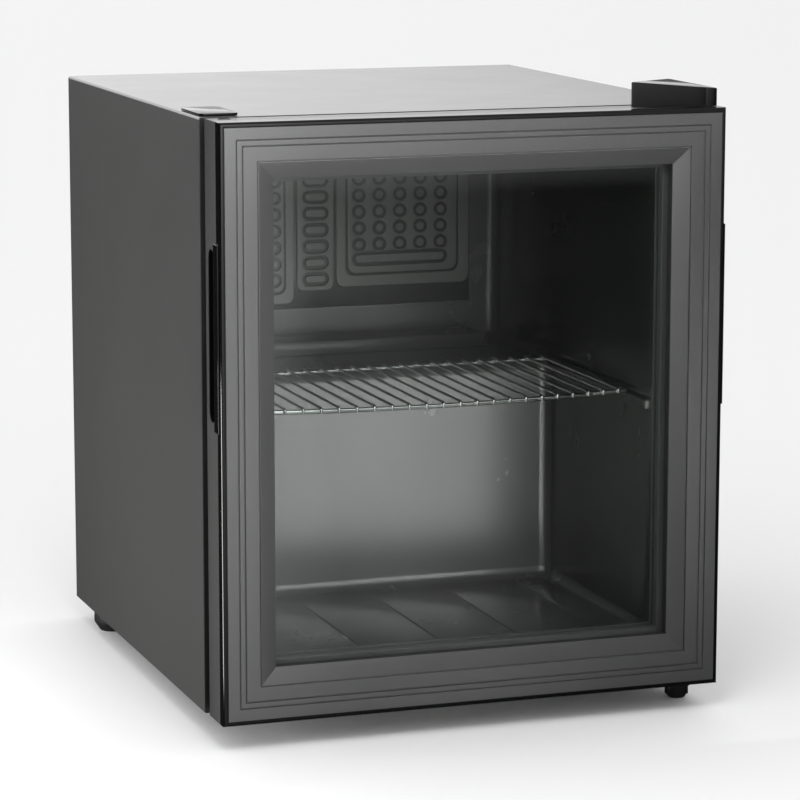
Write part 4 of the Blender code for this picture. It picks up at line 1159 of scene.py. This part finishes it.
assemble("spun_drier", "cabinet", "copper", copper,
         [turned(drier, ((low.x + high.x) / 2, (low.y + high.y) / 2, 0), 32)], "filter_drier")

# ------------------------------------------------------------------ condenser
# Black enamelled tube winds to and fro over the back, with thin wires welded down it as fins.
# Two clips hold it off the back sheet.

coil_y, coil_reach, coil_runs, coil_rise, coil_first = 0.2355, 0.158, 7, 0.036, 0.2580
bend = coil_rise / 2
coil = bent_line(
    [(coil_reach + bend, coil_y, 0.2440), (coil_reach + bend, coil_y, coil_first), (0, coil_y, coil_first)],
    bend, 8,
)[:-1]
for run in range(coil_runs):
    z = coil_first + run * coil_rise
    ahead = -1 if run % 2 == 0 else 1
    coil.append((ahead * coil_reach, coil_y, z))
    if run < coil_runs - 1:
        coil += [
            (ahead * (coil_reach + dx), coil_y, z + bend + dz)
            for dx, dz in arc((0, 0), bend, -90, 90, 10)[1:]
        ]
fin_low, fin_high = coil_first - 0.010, coil_first + (coil_runs - 1) * coil_rise + 0.010
fins = [
    ([(x, coil_y + 0.0027, fin_low), (x, coil_y + 0.0027, fin_high)], 0.0009)
    for x in [-0.140 + 0.020 * i for i in range(15)]
]
wire_piece("wire_on_tube_coil", [(coil, 0.0025), *fins], "cabinet", "matte_black", black_enamel, "condenser")
for side in ("left", "right"):
    low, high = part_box(f"condenser_{side}_bracket")
    clip = assemble(f"coil_clip_{side}", "cabinet", "matte_black", black_enamel,
                    [block_mesh(low, high, 0.0012, 3)], f"condenser_{side}_bracket")
    for run in range(coil_runs - 1):
        z = coil_first + (run + 0.5) * coil_rise
        cut_from(clip, [block_mesh(
            (low.x - 0.01, high.y - 0.006, z - 0.011), (high.x + 0.01, high.y + 0.01, z + 0.011), 0.003, 3
        )])

# ------------------------------------------------------------------ controls
# At the back is a small black panel with the thermostat's knob, a printed dial of ticks round
# it, and the gland where the mains cable comes out.

low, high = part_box("control_panel")
knob_x, knob_z = -0.120, 0.185
gland_x, gland_z = knob_x + 0.060, 0.150
panel = assemble("thermostat_panel", "cabinet", "matte_black", moulded_black,
                 [block_mesh(low, high, 0.0008, 3)], "control_panel")
cut_from(panel, [
    turned([(0.0, 0.0), (0.0038, 0.0), (0.0038, 0.02), (0.0, 0.02)], (knob_x, 0.22, knob_z), 28, "Y"),
    turned([(0.0, 0.0), (0.0066, 0.0), (0.0066, 0.02), (0.0, 0.02)], (gland_x, 0.22, gland_z), 28, "Y"),
])
print_white = finish_material("printed_white", (0.72, 0.72, 0.70), 0.5, 900.0, 0.00001, 0.05, 0.0)
ticks = []
for i in range(7):
    turn = math.radians(-60 + 50 * i)
    tick = block_mesh((-0.0004, high.y - 0.0002, 0.0180), (0.0004, high.y + 0.00008, 0.0205 + 0.0002 * i))
    tick.transform(
        Matrix.Translation((knob_x, 0, knob_z)) @ Matrix.Rotation(turn, 4, "Y")
    )
    ticks.append(tick)
assemble("dial_marks", "cabinet", "matte_black", print_white, ticks)

low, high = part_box("thermostat_knob")
knob_foot, knob_face = 0.2300, high.y - 0.0007
depth = knob_face - knob_foot
knob_shape = [
    (0.0, -0.0130), (0.0030, -0.0130), (0.0030, 0.0), (0.0150, 0.0), (0.0155, 0.0006),
    (0.0153, 0.0024), (0.0147, depth - 0.0010), (0.0140, depth), (0.0, depth),
]
grips = [
    turned([(0.0, 0.0), (0.0009, 0.0), (0.0009, depth - 0.0030), (0.0, depth - 0.0024)],
           (knob_x + 0.0146 * math.cos(t), knob_foot + 0.0018, knob_z + 0.0146 * math.sin(t)), 8, "Y")
    for t in [math.tau * i / 30 for i in range(30)]
]
pointer = block_mesh(
    (knob_x - 0.0012, knob_face - 0.0005, knob_z), (knob_x + 0.0012, high.y, knob_z + 0.012), 0.0004, 2
)
assemble("thermostat_dial", "knob", "gloss_black", foot_plastic,
         [turned(knob_shape, (knob_x, knob_foot, knob_z), 60, "Y"), *grips, pointer], "thermostat_knob")
low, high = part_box("cable_gland")
long = high.y - low.y
gland = [
    (0.0035, 0.0), (0.0058, 0.0), (0.0062, 0.0004), (0.0062, 0.0064), (0.0095, 0.0064),
    (0.0095, long - 0.0022), (0.0088, long - 0.0006), (0.0070, long), (0.0041, long),
    (0.0035, long - 0.0006), (0.0035, 0.0),
]
assemble("mains_gland", "cabinet", "matte_black", moulded_black,
         [turned(gland, (gland_x, low.y, gland_z), 36, "Y")], "cable_gland")

# ------------------------------------------------------------------ studio
# The fridge stands on a pale floor in a soft white room. Gloss mirrors a darker room with a lit
# back wall, a soft box stands above the left front corner, and a card is mirrored in the glass.


def ramp(tree, value, start, end, low, high):
    """Maps a value from start..end to low..high, and stops at both ends."""
    node = tree.nodes.new("ShaderNodeMapRange")
    tree.links.new(value, node.inputs["Value"])
    for socket, number in zip(("From Min", "From Max", "To Min", "To Max"), (start, end, low, high)):
        node.inputs[socket].default_value = number
    return node.outputs["Result"]


def stage_piece(name, bm, material):
    """A piece of the studio."""
    made = bpy.data.objects.new(name, mesh_from(bm))
    made.data.materials.append(material)
    bpy.context.scene.collection.objects.link(made)
    return made


paper = bpy.data.materials.new("pale_floor")
paper.use_nodes = True
paper.node_tree.nodes["Principled BSDF"].inputs["Base Color"].default_value = (0.93, 0.93, 0.93, 1.0)
paper.node_tree.nodes["Principled BSDF"].inputs["Roughness"].default_value = 0.6
ground = bmesh.new()
bmesh.ops.create_grid(ground, x_segments=1, y_segments=1, size=12)
floor = stage_piece("floor", ground, paper)
floor.visible_glossy = False

room = bpy.data.worlds.new("white_room")
room.use_nodes = True
tree = room.node_tree
backdrop = tree.nodes["Background"]
backdrop.inputs["Color"].default_value = (1.0, 1.0, 1.0, 1.0)
facing = tree.nodes.new("ShaderNodeSeparateXYZ")
tree.links.new(tree.nodes.new("ShaderNodeTexCoord").outputs["Generated"], facing.inputs[0])
aside, ahead, above = facing.outputs
back_wall = math_node(tree, "MULTIPLY", ramp(tree, ahead, 0.3, 0.8, 0, 1), ramp(tree, above, 0.0, 0.04, 0, 1))
back_wall = math_node(tree, "MULTIPLY", back_wall, ramp(tree, above, 0.35, 0.60, 1, 0))
back_wall = math_node(tree, "MULTIPLY", back_wall, ramp(tree, aside, 0.18, 0.46, 1.45, 0.75))
ceiling = ramp(tree, above, 0.3, 0.9, 0.0, 0.45)
walls = ramp(tree, above, -0.03, 0.05, 0.015, 0.10)
mirrored = math_node(tree, "ADD", math_node(tree, "ADD", back_wall, ceiling), walls)
rays = tree.nodes.new("ShaderNodeLightPath")
polished = math_node(
    tree, "MAXIMUM", rays.outputs["Is Glossy Ray"], rays.outputs["Is Transmission Ray"]
)
blend = tree.nodes.new("ShaderNodeMix")
tree.links.new(polished, blend.inputs["Factor"])
blend.inputs["A"].default_value = 1.0
tree.links.new(mirrored, blend.inputs["B"])
tree.links.new(blend.outputs["Result"], backdrop.inputs["Strength"])
bpy.context.scene.world = room

card_paint = bpy.data.materials.new("lit_card")
card_paint.use_nodes = True
tree = card_paint.node_tree
tree.nodes.remove(tree.nodes["Principled BSDF"])
glow = tree.nodes.new("ShaderNodeEmission")
split = tree.nodes.new("ShaderNodeSeparateXYZ")
tree.links.new(tree.nodes.new("ShaderNodeTexCoord").outputs["Object"], split.inputs[0])
across, _, upward = split.outputs
haze = ramp(tree, across, 0.00, 0.16, 0.20, 0.0)
left_glow = math_node(
    tree, "MULTIPLY", ramp(tree, across, -0.30, -0.06, 2.2, 0.0), ramp(tree, upward, 0.0, 0.45, 0.3, 1.0)
)
top_glow = math_node(
    tree, "MULTIPLY", ramp(tree, upward, 0.41, 0.60, 0.0, 2.3), ramp(tree, across, -0.1, 0.55, 1.0, 0.25)
)
strength = math_node(tree, "ADD", math_node(tree, "ADD", haze, left_glow), top_glow)
tree.links.new(strength, glow.inputs["Strength"])
tree.links.new(glow.outputs["Emission"], tree.nodes["Material Output"].inputs["Surface"])
card = bmesh.new()
foot, head = (-0.33, -0.06), (-0.63, 0.92)
corners = ((-0.70, *foot), (0.90, *foot), (0.90, *head), (-0.70, *head))
card.faces.new([card.verts.new(corner) for corner in corners])
mirrored_card = stage_piece("mirrored_card", card, card_paint)
mirrored_card.visible_camera = False
mirrored_card.visible_diffuse = False
mirrored_card.visible_shadow = False


def soft_box(name, place, target, size, power, spread=180):
    """A square area light that looks at a point, with its beam's spread in degrees."""
    lamp = bpy.data.lights.new(name, "AREA")
    lamp.size = size
    lamp.energy = power
    lamp.spread = math.radians(spread)
    holder = bpy.data.objects.new(name, lamp)
    holder.location = place
    aim = Vector(target) - Vector(place)
    holder.rotation_euler = aim.to_track_quat("-Z", "Y").to_euler()
    bpy.context.scene.collection.objects.link(holder)
    return lamp


soft_box("key_box", (-0.24, -0.72, 0.85), (-0.10, -0.2, 0.30), 0.35, 2.5)
soft_box("window_beam", (0.58, -1.45, 0.41), (-0.13, 0.05, 0.29), 0.25, 0.55, 26)
inside = soft_box("wall_sheen", (0.09, -0.19, 0.17), (0.05, 0.05, 0.19), 0.19, 0.27, 130)
inside.cycles.use_multiple_importance_sampling = False
soft_box("low_fill", (-0.80, 0.00, 0.04), (-0.2, 0.00, 0.04), 0.3, 6.0)

lens = bpy.data.cameras.new("camera")
lens.lens = 152.4
lens.sensor_width = 36.0
camera = bpy.data.objects.new("camera", lens)
camera.location = (-0.9404, -2.7619, 0.7487)
camera.rotation_euler = (1.3962, -0.0007, -0.3341)
bpy.context.scene.collection.objects.link(camera)
bpy.context.scene.camera = camera
bpy.context.scene.view_settings.view_transform = "Standard"
